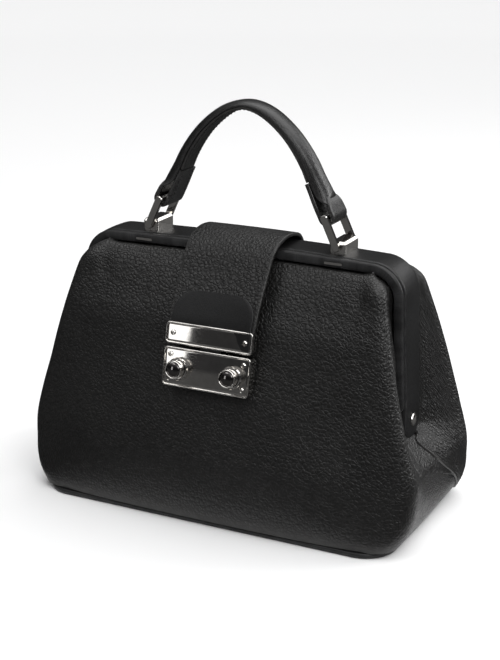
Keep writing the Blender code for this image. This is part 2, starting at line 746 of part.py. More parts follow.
flap_path = profile_path(FLAP) + [on_lock(0, up, -0.0018) for up in (0.0340, 0.0268)]
flap_halves = [float(np.interp(p.z, (0.120, 0.150), (LOCK_WIDTH / 2, FLAP_HALF))) for p in flap_path]
flap_strip("flap", flap_path, flap_halves, 0, -FLAP_THICK, PEBBLED, 0.0007)
patch_path = [Vector((0, y, z)) for z in (PATCH_TOP, 0.1377, 0.1355, 0.1325, 0.1290, 0.1250, 0.1215)
              for y in (float(np.interp(z, *zip(*[(b, a) for a, b in reversed(FLAP)]))),)]
patch_path.append(on_lock(0, 0.0386, -0.0018))
patch_halves = [LOCK_WIDTH / 2 - PATCH_INSET - curve for curve in (0.0120, 0.0072, 0.0035, 0.0013, 0.0003, 0, 0, 0)]
flap_strip("flap_patch", patch_path, patch_halves, PATCH_THICK + GAP, GAP, SMOOTH, 0.0003)
anchor_path = profile_path(ANCHOR)
flap_strip("flap_anchor", anchor_path[::-1], [FLAP_HALF] * len(ANCHOR), 0, -FLAP_THICK, PEBBLED, 0.0007)
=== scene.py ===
"""Doctor bag in black leather with nickel fittings: skins, straps, stitching and materials over its frame."""

import math

import bmesh
import bpy
import numpy as np
from mathutils import Matrix, Vector, noise


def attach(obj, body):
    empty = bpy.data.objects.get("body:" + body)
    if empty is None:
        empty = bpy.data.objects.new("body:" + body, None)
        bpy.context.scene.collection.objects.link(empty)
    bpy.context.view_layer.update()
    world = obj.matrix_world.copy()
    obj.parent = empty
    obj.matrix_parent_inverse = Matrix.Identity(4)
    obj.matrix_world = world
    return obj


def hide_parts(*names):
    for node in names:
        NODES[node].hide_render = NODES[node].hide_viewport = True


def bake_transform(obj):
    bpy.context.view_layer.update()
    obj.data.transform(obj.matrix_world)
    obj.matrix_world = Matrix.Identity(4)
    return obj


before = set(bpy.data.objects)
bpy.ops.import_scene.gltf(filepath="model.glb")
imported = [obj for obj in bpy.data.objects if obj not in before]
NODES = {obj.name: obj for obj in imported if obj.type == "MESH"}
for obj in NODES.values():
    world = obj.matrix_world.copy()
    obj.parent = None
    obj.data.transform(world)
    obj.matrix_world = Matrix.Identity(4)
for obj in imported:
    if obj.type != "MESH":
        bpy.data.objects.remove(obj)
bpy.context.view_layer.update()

# Body: height, corner x, corner |y|, middle |y|, end x at the fold
BODY = np.array((
    (0.0033, 0.1180, 0.0596, 0.0634, 0.1190),
    (0.0110, 0.1248, 0.0592, 0.0650, 0.1240),
    (0.0220, 0.1294, 0.0572, 0.0652, 0.1244),
    (0.0400, 0.1318, 0.0532, 0.0630, 0.1218),
    (0.0480, 0.1316, 0.0518, 0.0606, 0.1150),
    (0.0560, 0.1304, 0.0502, 0.0584, 0.1068),
    (0.0700, 0.1270, 0.0476, 0.0544, 0.1044),
    (0.0950, 0.1200, 0.0428, 0.0466, 0.1030),
    (0.1200, 0.1126, 0.0375, 0.0398, 0.1022),
    (0.1480, 0.1046, 0.0290, 0.0240, 0.1012),
    (0.1550, 0.0935, 0.0215, 0.0178, 0.0960),
))
# Roundness of the body's upright corners by height
CORNER = ((0.0, 0.0150), (0.030, 0.0180), (0.060, 0.0160), (0.090, 0.0130), (0.120, 0.0105), (0.150, 0.0085))
# How far the softer right front corner falls in by height
SLIM = (
    (0.0, 0.0), (0.045, 0.0), (0.075, 0.0042), (0.095, 0.0062),
    (0.125, 0.0068), (0.142, 0.0060), (0.153, 0.0020),
)
BASE_Z = 0.0034
SKIN_TOP = 0.1546
BACK_TOP = SKIN_TOP - 0.0001
SKIN_THICK = 0.0018
PIVOT_Z = 0.0650
# The frame's outer x up its arm
ARM_X = ((0.0530, 0.1083), (0.0750, 0.1083), (0.1050, 0.1068), (0.1340, 0.1056))
FRAME_CORNER = 0.0205
ROOF_Z = 0.1610
ROOF_HALF = ARM_X[-1][1] - FRAME_CORNER
ROOF_CROWN = 0.0015
COVER_Y = (-0.0120, 0.0110)
COVER_THICK = 0.0036
LUG_RADIUS = 0.0115
RIM_DEPTH = 0.0064
# The back leather's seam over the low end: height by share of the way from the lug to the back corner
SEAM = ((0.0, 0.0500), (0.12, 0.0430), (0.35, 0.0350), (0.62, 0.0265), (0.85, 0.0155), (1.0, 0.0046))
# How far the front leather laps back over the low end by height, and how deep its edge sinks
WRAP = (
    (0.0034, 0.092), (0.012, 0.084), (0.022, 0.066), (0.031, 0.045),
    (0.040, 0.027), (0.050, 0.021), (0.066, 0.026),
)
WRAP_SINK = ((0.0, 0.0), (0.020, 0.0004), (0.034, 0.0020), (0.050, 0.0035), (0.066, 0.0060))
# How much deeper the low end lies under that lap
LAP_DEPTH = 0.0016
# Depth behind the corner's roll in which the low end's own front edge lies, by height
END_REACH = ((0.0, 0.030), (0.018, 0.034), (0.034, 0.030), (0.050, 0.022), (0.066, 0.026))
END_BACK = 0.0500
# The ends' fold, and where each skin's top edge tucks in under the rim
FOLD_Y = 0.014
FRONT_TUCK_Y = -0.0146
BACK_TUCK_Y = 0.0134
TUCK_FOOT_Z = 0.066
RIM_GAP = 0.0006
BASE_HALF = (0.1165, 0.0622)
BASE_ROUND = 0.020
# The base leather's painted edge: height, how far it stands out, wear and painted highlight
BASE_EDGE = (
    (0.0, -0.0009, 0.3), (0.00025, -0.00035, 0.8), (0.0008, 0.0, 1.0),
    (0.0022, 0.0, 1.0), (0.0028, -0.0004, 0.7), (0.0030, -0.0010, 0.2),
)


# --- Camera, light and floor ---


AZIMUTH, ELEVATION, DISTANCE = 26.68, 18.97, 0.90647
LOOK_HEIGHT = 0.09
FOCAL, CENTRE, EXTENT, SENSOR = 1475.27, (248.69, 352.21), (500, 660), 36
FLOOR_SIDES = 48


def look_from():
    """The camera, at the angle that shows the front, the right end and a little of the roof."""
    azimuth, elevation = math.radians(AZIMUTH), math.radians(ELEVATION)
    back = Vector((
        math.sin(azimuth) * math.cos(elevation),
        -math.cos(azimuth) * math.cos(elevation),
        math.sin(elevation),
    ))
    right = Vector((math.cos(azimuth), math.sin(azimuth), 0))
    matrix = Matrix((right, back.cross(right), back)).transposed().to_4x4()
    matrix.translation = Vector((0, 0, LOOK_HEIGHT)) + back * DISTANCE
    data = bpy.data.cameras.new("view")
    data.sensor_width = SENSOR
    data.lens = FOCAL / EXTENT[1] * SENSOR
    data.shift_x = (EXTENT[0] / 2 - CENTRE[0]) / EXTENT[1]
    data.shift_y = (CENTRE[1] - EXTENT[1] / 2) / EXTENT[1]
    bpy.context.scene.view_settings.view_transform = "Standard"
    bpy.context.scene.camera = linked("view", data)
    bpy.context.scene.camera.matrix_world = matrix


def linked(name, data):
    thing = bpy.data.objects.new(name, data)
    bpy.context.scene.collection.objects.link(thing)
    return thing


def soft_light(name, place, aim, size, power):
    data = bpy.data.lights.new(name, "AREA")
    data.shape = "RECTANGLE"
    data.size, data.size_y = size
    data.energy = power
    light = linked(name, data)
    light.location = place
    light.rotation_euler = (Vector(aim) - Vector(place)).to_track_quat("-Z", "Y").to_euler()


def ring_of(radius, depth, height):
    turn = [2 * math.pi * i / FLOOR_SIDES for i in range(FLOOR_SIDES)]
    return [(radius * math.cos(a), depth * math.sin(a), height) for a in turn]


def stage_sheet(name, rings, shade, rough, unseen=()):
    """A plain sheet through rings of points round the object, which isn't a piece of it."""
    mesh = bmesh.new()
    rows = [[mesh.verts.new(spot) for spot in ring] for ring in rings]
    for low, high in zip(rows, rows[1:]):
        for i in range(FLOOR_SIDES):
            j = (i + 1) % FLOOR_SIDES
            corners = [low[i % len(low)], high[i], high[j], low[j % len(low)]]
            mesh.faces.new(list(dict.fromkeys(corners)))
    data = bpy.data.meshes.new(name)
    mesh.to_mesh(data)
    mesh.free()
    sheet = linked(name, data)
    for ray in unseen:
        setattr(sheet, f"visible_{ray}", False)
    paint = bpy.data.materials.new(f"{name}_paint")
    paint.use_nodes = True
    shader = paint.node_tree.nodes["Principled BSDF"]
    shader.inputs["Base Color"].default_value = (shade, shade, shade, 1)
    shader.inputs["Roughness"].default_value = rough
    data.materials.append(paint)


def studio():
    """The camera, a soft world that is darker low down, soft lights, a pale floor and a dark ring.

    The ring is cloth round the bag that shows only in its shine, so that black leather stays black.
    """
    look_from()
    world = bpy.data.worlds.new("studio")
    world.use_nodes = True
    new, link = world.node_tree.nodes.new, world.node_tree.links.new
    sky, out = (world.node_tree.nodes[name] for name in ("Background", "World Output"))
    where, split = new("ShaderNodeTexCoord"), new("ShaderNodeSeparateXYZ")
    ramp, plain = new("ShaderNodeValToRGB"), new("ShaderNodeBackground")
    path, mix = new("ShaderNodeLightPath"), new("ShaderNodeMixShader")
    link(where.outputs["Generated"], split.inputs[0])
    link(split.outputs["Z"], ramp.inputs[0])
    link(ramp.outputs[0], sky.inputs["Color"])
    low, high = ramp.color_ramp.elements
    low.position, low.color = 0.25, (0.030, 0.030, 0.031, 1)
    high.position, high.color = 0.85, (0.42, 0.42, 0.425, 1)
    plain.inputs["Color"].default_value = (0.97, 0.97, 0.97, 1)
    link(path.outputs["Is Camera Ray"], mix.inputs[0])
    link(sky.outputs[0], mix.inputs[1])
    link(plain.outputs[0], mix.inputs[2])
    link(mix.outputs[0], out.inputs[0])
    bpy.context.scene.world = world

    sun = linked("overhead", bpy.data.lights.new("overhead", "SUN"))
    sun.data.energy = 2.35
    sun.data.angle = math.radians(75)
    sun.rotation_euler = (math.radians(-12), math.radians(10), 0)
    soft_light("key", (0.62, -0.70, 0.80), (0.03, 0, 0.09), (0.60, 0.50), 4.0)
    soft_light("top_left", (-0.45, -0.62, 0.88), (-0.03, 0, 0.09), (0.42, 0.34), 1.1)
    soft_light("left", (-1.563, -2.62, 0.40), (0, -0.06, 0.10), (0.377, 0.90), 1.7)
    soft_light("right", (0.95, 0.62, 0.50), (0.08, 0.02, 0.09), (0.34, 0.50), 4.6)
    soft_light("back", (0.45, 0.95, 0.55), (0, 0, 0.1), (0.6, 0.3), 1.2)

    floor = [[(0.0, 0.0, -0.0002)]] + [ring_of(radius, radius, -0.0002) for radius in (0.4, 1.2, 4.0, 14.0)]
    stage_sheet("floor", floor, 0.92, 0.9)
    cloth = [ring_of(0.158, 0.158 - 0.06, 0.0004), ring_of(2.2, 2.2, 0.0004), ring_of(2.4, 2.4, 0.16)]
    unseen = ("camera", "diffuse", "shadow", "transmission", "volume_scatter")
    stage_sheet("dark_cloth", cloth, 0.045, 0.95, unseen)


# --- Materials ---


class Tree:
    """A material's node tree, built by short calls: an input is a value or another node's output."""

    def __init__(self, name):
        self.material = bpy.data.materials.new(name)
        self.material.use_nodes = True
        self.nodes = self.material.node_tree.nodes
        self.links = self.material.node_tree.links
        self.shader = self.nodes["Principled BSDF"]

    def add(self, kind, inputs=(), **settings):
        node = self.nodes.new("ShaderNode" + kind)
        for key, value in settings.items():
            setattr(node, key, value)
        for key, value in dict(inputs).items():
            self.feed(node, key, value)
        return node

    def feed(self, node, key, value):
        if isinstance(value, bpy.types.NodeSocket):
            self.links.new(value, node.inputs[key])
        else:
            node.inputs[key].default_value = value

    def shade(self, key, value):
        self.feed(self.shader, key, value)

    def bump(self, height, strength, distance):
        inputs = {"Height": height, "Strength": strength, "Distance": distance}
        self.shade("Normal", self.add("Bump", inputs).outputs[0])

    def math(self, operation, a, b):
        return self.add("Math", {0: a, 1: b}, operation=operation).outputs[0]

    def plus(self, a, b):
        return self.math("ADD", a, b)

    def times(self, a, b):
        return self.math("MULTIPLY", a, b)

    def ramp(self, value, *stops):
        node = self.add("ValToRGB", {0: value})
        while len(node.color_ramp.elements) < len(stops):
            node.color_ramp.elements.new(0.5)
        for element, (position, level) in zip(node.color_ramp.elements, stops):
            element.position = position
            element.color = (*level, 1) if isinstance(level, tuple) else (level, level, level, 1)
        return node.outputs[0]

    def mix(self, share, a, b):
        node = self.add("Mix", {0: share, 6: a, 7: b}, data_type="RGBA")
        return node.outputs[2]

    def noise(self, where, scale, detail=2.0, roughness=0.5):
        inputs = {"Vector": where, "Scale": scale, "Detail": detail, "Roughness": roughness}
        return self.add("TexNoise", inputs).outputs[0]

    def wave(self, where, scale, distortion, way):
        inputs = {"Vector": where, "Scale": scale, "Distortion": distortion}
        return self.add("TexWave", inputs, bands_direction=way).outputs[0]

    def attribute(self, name, output):
        return self.add("Attribute", attribute_name=name).outputs[output]


def leather(name, colour, grain, relief, rough, specular):
    """Leather over the piece's own surface coordinates: pebbles, pores, patchy finish, painted shade in the
    grain's grooves, and edges painted lighter, partly as rubbed wear and partly as a painted highlight.
    """
    t = Tree(name)
    cut = t.attribute("cut", "Vector")
    edge = t.attribute("edge", "Fac")
    warp = t.add("TexNoise", {"Vector": cut, "Scale": 260.0, "Detail": 1.0}).outputs["Color"]
    shifted = t.add("VectorMath", {0: warp, 1: (0.5, 0.5, 0.5)}, operation="SUBTRACT").outputs[0]
    scaled = t.add("VectorMath", {0: shifted, "Scale": grain * 1.1}, operation="SCALE").outputs[0]
    where = t.add("VectorMath", {0: cut, 1: scaled}, operation="ADD").outputs[0]
    pattern = {"Vector": where, "Scale": 1 / grain, "Randomness": 0.95}
    cells = t.add("TexVoronoi", pattern, feature="DISTANCE_TO_EDGE")
    groove = t.ramp(cells.outputs["Distance"], (0.0, 0.0), (0.16, 0.72), (0.34, 1.0))
    cores = t.add("TexVoronoi", pattern, feature="F1")
    dome = t.ramp(cores.outputs["Distance"], (0.0, 1.0), (0.30, 0.86), (0.62, 0.34), (0.95, 0.0))
    pebble = t.plus(t.times(groove, 0.45), t.times(dome, 0.55))
    swell = t.noise(where, 0.30 / grain, 1.0, 0.5)
    pores = t.noise(cut, 3.2 / grain, 3.0, 0.6)
    height = t.plus(t.times(pebble, 0.80), t.times(swell, 0.50))
    height = t.plus(height, t.times(pores, 0.025))
    flat = t.math("SUBTRACT", 1.0, t.times(edge, 0.8))
    t.bump(height, flat, relief)
    patch = t.ramp(t.noise(cut, 28.0, 4.0, 0.6), (0.3, 0.0), (0.72, 1.0))
    # Painted shade: the grain's grooves, low in the pebble height, are painted a darker tone.
    groove_shade = tuple(c * 0.62 for c in colour)
    pale = tuple(min(1.0, c * 1.45 + 0.002) for c in colour)
    tone = t.mix(patch, (*colour, 1), (*pale, 1))
    tone = t.mix(t.ramp(pebble, (0.0, 1.0), (0.7, 0.0)), tone, (*groove_shade, 1))
    # Edges marked in the edge attribute are painted lighter in patches: partly rubbed wear, partly a painted
    # highlight along rounded edges.
    wear_and_highlight = tuple(min(1.0, c * 2.6 + 0.012) for c in colour)
    rub_and_highlight = t.times(edge, t.ramp(t.noise(cut, 160.0, 3.0, 0.6), (0.35, 0.35), (0.65, 1.0)))
    tone = t.mix(rub_and_highlight, tone, (*wear_and_highlight, 1))
    t.shade("Base Color", tone)
    low, high = rough
    shine = t.plus(low, t.times(t.math("SUBTRACT", 1.0, pebble), high - low))
    shine = t.plus(shine, t.times(t.math("SUBTRACT", patch, 0.5), 0.07))
    shine = t.math("SUBTRACT", shine, t.times(rub_and_highlight, 0.08))
    t.shade("Roughness", shine)
    t.shader.inputs["Specular IOR Level"].default_value = specular
    return t.material


def metal(name, colour, rough, spread, scratch=0.00001, brushed=(1.0, 1.0, 1.0)):
    """Plated metal with faint polishing lines, a handled bloom and fine pits."""
    t = Tree(name)
    spot = t.add("TexCoord").outputs["Object"]
    along = t.add("Mapping", {"Vector": spot, "Scale": brushed}).outputs[0]
    lines = t.noise(along, 2600.0, 3.0, 0.7)
    bloom = t.ramp(t.noise(spot, 190.0, 4.0, 0.62), (0.35, 0.0), (0.75, 1.0))
    dark = tuple(c * 0.80 for c in colour)
    t.shade("Base Color", t.mix(bloom, (*colour, 1), (*dark, 1)))
    shine = t.plus(rough, t.times(lines, spread * 0.45))
    shine = t.plus(shine, t.times(bloom, spread * 0.5))
    t.shade("Roughness", shine)
    pits = t.noise(spot, 1500.0, 2.0, 0.5)
    height = t.plus(lines, t.times(pits, 0.6))
    t.bump(height, 0.5, scratch)
    t.shader.inputs["Metallic"].default_value = 1.0
    return t.material


def lining(name):
    """Woven lining cloth: a fine twill of crossing threads."""
    t = Tree(name)
    cut = t.attribute("cut", "Vector")
    turned = t.add("Mapping", {"Vector": cut, "Rotation": (0, 0, math.radians(45))}).outputs[0]
    warp = t.wave(cut, 420.0, 0.6, "X")
    weft = t.wave(turned, 300.0, 0.4, "Y")
    weave = t.times(warp, weft)
    patch = t.noise(cut, 60.0, 3.0)
    tone = t.mix(weave, (0.018, 0.017, 0.018, 1), (0.055, 0.052, 0.053, 1))
    t.shade("Base Color", t.mix(t.times(patch, 0.4), tone, (0.03, 0.03, 0.032, 1)))
    t.shade("Roughness", t.plus(0.62, t.times(weave, 0.22)))
    t.bump(weave, 0.7, 0.00006)
    t.shader.inputs["Sheen Weight"].default_value = 0.25
    return t.material


def board(name):
    """The stiff board inside the base, under a thin pasted lining with a faint weave."""
    t = Tree(name)
    spot = t.add("TexCoord").outputs["Object"]
    warp = t.wave(spot, 380.0, 1.0, "X")
    weft = t.wave(spot, 380.0, 1.0, "Y")
    weave = t.plus(t.times(warp, 0.5), t.times(weft, 0.5))
    patch = t.noise(spot, 45.0, 4.0, 0.6)
    tone = t.mix(weave, (0.020, 0.018, 0.018, 1), (0.042, 0.040, 0.039, 1))
    t.shade("Base Color", t.mix(t.times(patch, 0.5), tone, (0.026, 0.024, 0.023, 1)))
    t.shade("Roughness", t.plus(0.66, t.times(patch, 0.2)))
    t.bump(weave, 0.6, 0.00008)
    return t.material


def thread(name):
    """Waxed black sewing thread: a twist of strands along each stitch."""
    t = Tree(name)
    cut = t.attribute("cut", "Vector")
    twist = t.wave(cut, 900.0, 0.5, "DIAGONAL")
    t.shade("Base Color", t.mix(twist, (0.008, 0.008, 0.009, 1), (0.035, 0.034, 0.034, 1)))
    t.shade("Roughness", t.plus(0.38, t.times(twist, 0.25)))
    t.bump(twist, 0.8, 0.00005)
    return t.material


studio()
# Depth of a mirror polish's finest marks
POLISH = 0.0000006
PEBBLED = leather("pebbled_leather", (0.0052, 0.0049, 0.0046), 0.0022, 0.00040, (0.35, 0.53), 0.50)
SMOOTH = leather("smooth_leather", (0.0060, 0.0060, 0.0062), 0.0008, 0.00004, (0.33, 0.46), 0.26)
HANDLE_LEATHER = leather("handle_leather", (0.0062, 0.0060, 0.0060), 0.0009, 0.00007, (0.25, 0.38), 0.62)
LINING = lining("lining_twill")
THREAD = thread("waxed_thread")
NICKEL = metal("polished_nickel", (0.80, 0.775, 0.74), 0.02, 0.02, POLISH)
BLACK_NICKEL = metal("black_nickel", (0.20, 0.19, 0.185), 0.03, 0.02, POLISH)
DARK_STEEL = metal("blackened_steel", (0.10, 0.10, 0.10), 0.34, 0.2)
BOARD = board("covered_board")
STEEL = metal("brushed_steel", (0.45, 0.45, 0.46), 0.24, 0.22, 0.00002, (0.15, 1.0, 1.0))


# --- Mesh building ---


def unit(vectors):
    return vectors / np.maximum(np.linalg.norm(vectors, axis=-1, keepdims=True), 1e-12)


def read(table, value):
    """A table's second column at a value of its first."""
    return float(np.interp(value, *zip(*table)))


def lengths(points):
    """Length run along a line of points."""
    return np.concatenate([[0], np.cumsum(np.linalg.norm(np.diff(points, axis=0), axis=1))])


def arc(degrees):
    """Cosine and sine of each angle."""
    return [(math.cos(math.radians(a)), math.sin(math.radians(a))) for a in degrees]


def tube(rings, size, first=0, flip=False):
    """Faces of a closed tube through rings of points that follow one another."""
    faces = []
    for i in range(rings - 1):
        a, b = first + i * size, first + (i + 1) * size
        for k in range(size):
            n = (k + 1) % size
            faces.append((a + k, a + n, b + n, b + k))
    last = first + (rings - 1) * size
    ends = [tuple(range(first, first + size)), tuple(reversed(range(last, last + size)))]
    return faces + [end[::-1] if flip else end for end in ends]


def spline(points, count):
    """Points at equal steps along a smooth curve through the ones given."""
    p = np.array(points, float)
    q = np.vstack([2 * p[0] - p[1], p, 2 * p[-1] - p[-2]])
    fine = []
    for a, b, c, d in zip(q, q[1:], q[2:], q[3:]):
        for t in np.linspace(0, 1, 20, endpoint=False):
            cubic = (3 * b - a - 3 * c + d) * t**3
            fine.append(0.5 * (2 * b + (c - a) * t + (2 * a - 5 * b + 4 * c - d) * t * t + cubic))
    fine = np.array(fine + [p[-1]])
    run = lengths(fine)
    at = np.linspace(0, run[-1], count)
    return np.stack([np.interp(at, run, fine[:, k]) for k in range(p.shape[1])], 1)


def relax(grid, rounds):
    """Evens a grid of points out, leaving its border where it is."""
    g = grid.copy()
    for _ in range(rounds):
        g[1:-1, 1:-1] = 0.5 * g[1:-1, 1:-1] + 0.25 * (g[:-2, 1:-1] + g[2:, 1:-1])
        g[1:-1, 1:-1] = 0.5 * g[1:-1, 1:-1] + 0.25 * (g[1:-1, :-2] + g[1:-1, 2:])
    return g


def normals_of(grid):
    """Normals over a grid, turned away from the bag's middle axis."""
    normal = unit(np.cross(np.gradient(grid, axis=1), np.gradient(grid, axis=0)))
    middle = grid.shape[0] // 2, grid.shape[1] // 2
    return -normal if np.dot(normal[middle], grid[middle] * (1, 1, 0)) < 0 else normal


def runs(grid):
    """Lengths along the grid's surface: across from its middle column, and up from its lowest row."""
    middle = grid.shape[1] // 2
    across = np.stack([lengths(row) for row in grid])
    across -= across[:, middle : middle + 1]
    up = np.stack([lengths(column) for column in grid.transpose(1, 0, 2)], 1)
    return np.stack([across, up, np.zeros_like(up)], 2)


def place(name, points, faces, cut, edge, materials, inner=None, sharp=40):
    """One smooth-shaded object with its leather coordinates; inner faces take the second material."""
    data = bpy.data.meshes.new(name)
    data.from_pydata([tuple(p) for p in points], [], faces)
    for made in materials:
        data.materials.append(made)
    if inner is not None:
        slots = np.zeros(len(data.polygons), np.int32)
        slots[inner[0] : inner[1]] = 1
        data.polygons.foreach_set("material_index", slots)
    for label, kind, key, values in (("cut", "FLOAT_VECTOR", "vector", cut), ("edge", "FLOAT", "value", edge)):
        layer = data.attributes.new(label, kind, "POINT").data
        layer.foreach_set(key, np.array(values, np.float32).ravel())
    mesh = bmesh.new()
    mesh.from_mesh(data)
    bmesh.ops.recalc_face_normals(mesh, faces=mesh.faces)
    for face in mesh.faces:
        face.smooth = True
    for line in mesh.edges:
        if len(line.link_faces) == 2 and line.calc_face_angle(0) > math.radians(sharp):
            line.smooth = False
    mesh.to_mesh(data)
    mesh.free()
    return linked(name, data)


def skin(name, outer, thick, edge, materials, offset=(0.0, 0.0)):
    """A leather sheet with a rounded rim between a grid of points and its inner side."""
    rows, cols = outer.shape[:2]
    normal = normals_of(outer)
    inner = outer - normal * np.asarray(thick).reshape(-1, 1, 1)
    ids = np.arange(rows * cols).reshape(rows, cols)
    faces = []
    for i in range(rows - 1):
        for j in range(cols - 1):
            faces.append((ids[i, j], ids[i, j + 1], ids[i + 1, j + 1], ids[i + 1, j]))
    count = rows * cols
    first = len(faces)
    faces += [tuple(v + count for v in reversed(face)) for face in faces]
    ring = list(ids[0, :]) + list(ids[1:, -1]) + list(ids[-1, -2::-1]) + list(ids[-2:0:-1, 0])
    flat_out = outer.reshape(-1, 3)
    flat_in = inner.reshape(-1, 3)
    loop = np.array([flat_out[i] for i in ring])
    ahead, behind = np.roll(loop, -1, axis=0), np.roll(loop, 1, axis=0)
    away = unit(np.cross(unit(ahead - behind), normal.reshape(-1, 3)[ring]))
    middle = (flat_out[ring] + flat_in[ring]) / 2
    bulge = np.asarray(thick).max() * 0.3
    if np.sum(away * (loop - loop.mean(axis=0))) < 0:
        away = -away
    rim = middle + away * bulge
    last = len(faces)
    for k in range(len(ring)):
        n = (k + 1) % len(ring)
        faces.append((ring[k], ring[n], 2 * count + n, 2 * count + k))
        faces.append((2 * count + k, 2 * count + n, ring[n] + count, ring[k] + count))
    cut = runs(outer) + np.array((*offset, 0.0))
    cuts = np.concatenate([cut.reshape(-1, 3)] * 2 + [cut.reshape(-1, 3)[ring]])
    wear_and_highlight = edge.reshape(-1)
    edges = np.concatenate([wear_and_highlight, wear_and_highlight * 0, wear_and_highlight[ring]])
    points = np.concatenate([flat_out, flat_in, rim])
    return place(name, points, faces, cuts, edges, materials, (first, last))


def ribbon(name, path, side, spans, outer, inner, material, crown, bend, wide, lift=None, soft=0.0011):
    """A strap swept along a path, with its width along side between the spans and edges rounded by bend."""
    path = np.array(path, float)
    side = np.array(side, float)
    along = unit(np.gradient(path, axis=0))
    normal = unit(np.cross(along, side))
    run = lengths(path)
    points, cuts, edges = [], [], []
    for i, spot in enumerate(path):
        low, high = spans[i]
        top = outer[i] if np.ndim(outer) else outer
        bottom = inner[i] if np.ndim(inner) else inner
        r = min(bend, (top - bottom) / 2 * 0.98, (high - low) / 2 * 0.9)
        ring = []
        flat = [(low + r + (high - low - 2 * r) * share, share) for share in np.linspace(0, 1, wide)]
        for a, share in flat:
            ring.append((a, top + crown * (1 - (2 * share - 1) ** 2), min(a - low, high - a)))
        ring += [(high - r + r * c, top - r + r * s, 0.0) for c, s in arc((65, 40, 15))]
        ring += [(high - r + r * c, bottom + r + r * s, 0.0) for c, s in arc((-15, -40, -65))]
        ring += [(a, bottom, 1.0) for a, _ in reversed(flat)]
        ring += [(low + r - r * c, bottom + r + r * s, 0.0) for c, s in arc((-65, -40, -15))]
        ring += [(low + r - r * c, top - r + r * s, 0.0) for c, s in arc((15, 40, 65))]
        for across, off, inside in ring:
            rise = lift(spot, across) if lift else 0.0
            points.append(spot + side * across + normal[i] * (off + rise))
            cuts.append((across, run[i], 0.0))
            # Rounded sides are marked as edges, which the leather paints lighter: wear plus a painted
            # highlight.
            edges.append(max(0.0, 1 - inside / soft) if inside < soft else 0.0)
    faces = tube(len(path), len(points) // len(path))
    return place(name, points, faces, cuts, edges, [material])


STITCH_RADIUS = 0.00032
STITCH_FILL = 0.68
STITCH_SINK = 0.35
STITCH_SIDES = 6
STITCH_RINGS = 7


def stitches(name, spots, normals, length):
    """Short rounded stitches end to end along a line on a surface."""
    spots = np.array(spots, float)
    normals = unit(np.array(normals, float))
    run = lengths(spots)
    count = max(1, int(run[-1] / length))
    points, faces, cuts = [], [], []

    def on(line, at):
        return np.array([np.interp(at, run, line[:, c]) for c in range(3)])

    for k in range(count):
        start = (k + (1 - STITCH_FILL) / 2) * run[-1] / count
        end = (k + (1 + STITCH_FILL) / 2) * run[-1] / count
        faces += tube(STITCH_RINGS, STITCH_SIDES, len(points))
        for share in np.linspace(0, 1, STITCH_RINGS):
            at = start + (end - start) * share
            up = unit(on(normals, at))
            along = unit(on(spots, at + 0.0003) - on(spots, at - 0.0003))
            across = unit(np.cross(along, up))
            arch = math.sin(math.pi * share)
            size = STITCH_RADIUS * (0.30 + 0.70 * arch**0.6)
            centre = on(spots, at) + up * STITCH_RADIUS * (arch - STITCH_SINK)
            for turn in range(STITCH_SIDES):
                a = 2 * math.pi * turn / STITCH_SIDES
                points.append(centre + (across * math.cos(a) + up * math.sin(a)) * size)
                cuts.append((at, a * STITCH_RADIUS, 0.0))
    return place(name, points, faces, cuts, [0.0] * len(points), [THREAD])


def wear(piece, body=None, replaced=()):
    """Hides the nodes a piece stands for and, unless it is blended, hangs it on the body it rides on."""
    if replaced:
        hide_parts(*replaced)
    if body:
        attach(piece, body)


# --- Leather body ---

FINE_STEP = 0.0005
FINE_Z = np.arange(-0.02, 0.18, FINE_STEP)


def smoothed_table():
    """BODY's columns at fine steps of height, with its corners softened and its ends run on straight."""
    kernel = np.exp(-0.5 * (np.arange(-16, 17) * FINE_STEP / 0.0028) ** 2)
    kernel /= kernel.sum()
    columns = []
    for column in range(1, 5):
        low = (BODY[1, column] - BODY[0, column]) / (BODY[1, 0] - BODY[0, 0])
        high = (BODY[-1, column] - BODY[-2, column]) / (BODY[-1, 0] - BODY[-2, 0])
        values = np.interp(FINE_Z, BODY[:, 0], BODY[:, column])
        values += np.where(FINE_Z < BODY[0, 0], (FINE_Z - BODY[0, 0]) * low, 0)
        values += np.where(FINE_Z > BODY[-1, 0], (FINE_Z - BODY[-1, 0]) * high, 0)
        columns.append(np.convolve(np.pad(values, 16, "edge"), kernel, "valid"))
    return columns


TABLE = smoothed_table()


def body_at(z, column):
    return float(np.interp(z, FINE_Z, TABLE[column - 1]))


def smoothstep(value, low, high):
    t = min(1.0, max(0.0, (value - low) / (high - low)))
    return t * t * (3 - 2 * t)


def rim_inner_x(z):
    """Where the leather's edge lies under the rim: down the arm and round the frame's corner."""
    inner = FRAME_CORNER - RIM_DEPTH - RIM_GAP
    low = ROOF_Z - FRAME_CORNER
    if z <= low:
        return read(ARM_X, z) - RIM_DEPTH - RIM_GAP
    return ARM_X[-1][1] - FRAME_CORNER + math.sqrt(max(0.0, inner**2 - min(inner, z - low) ** 2))


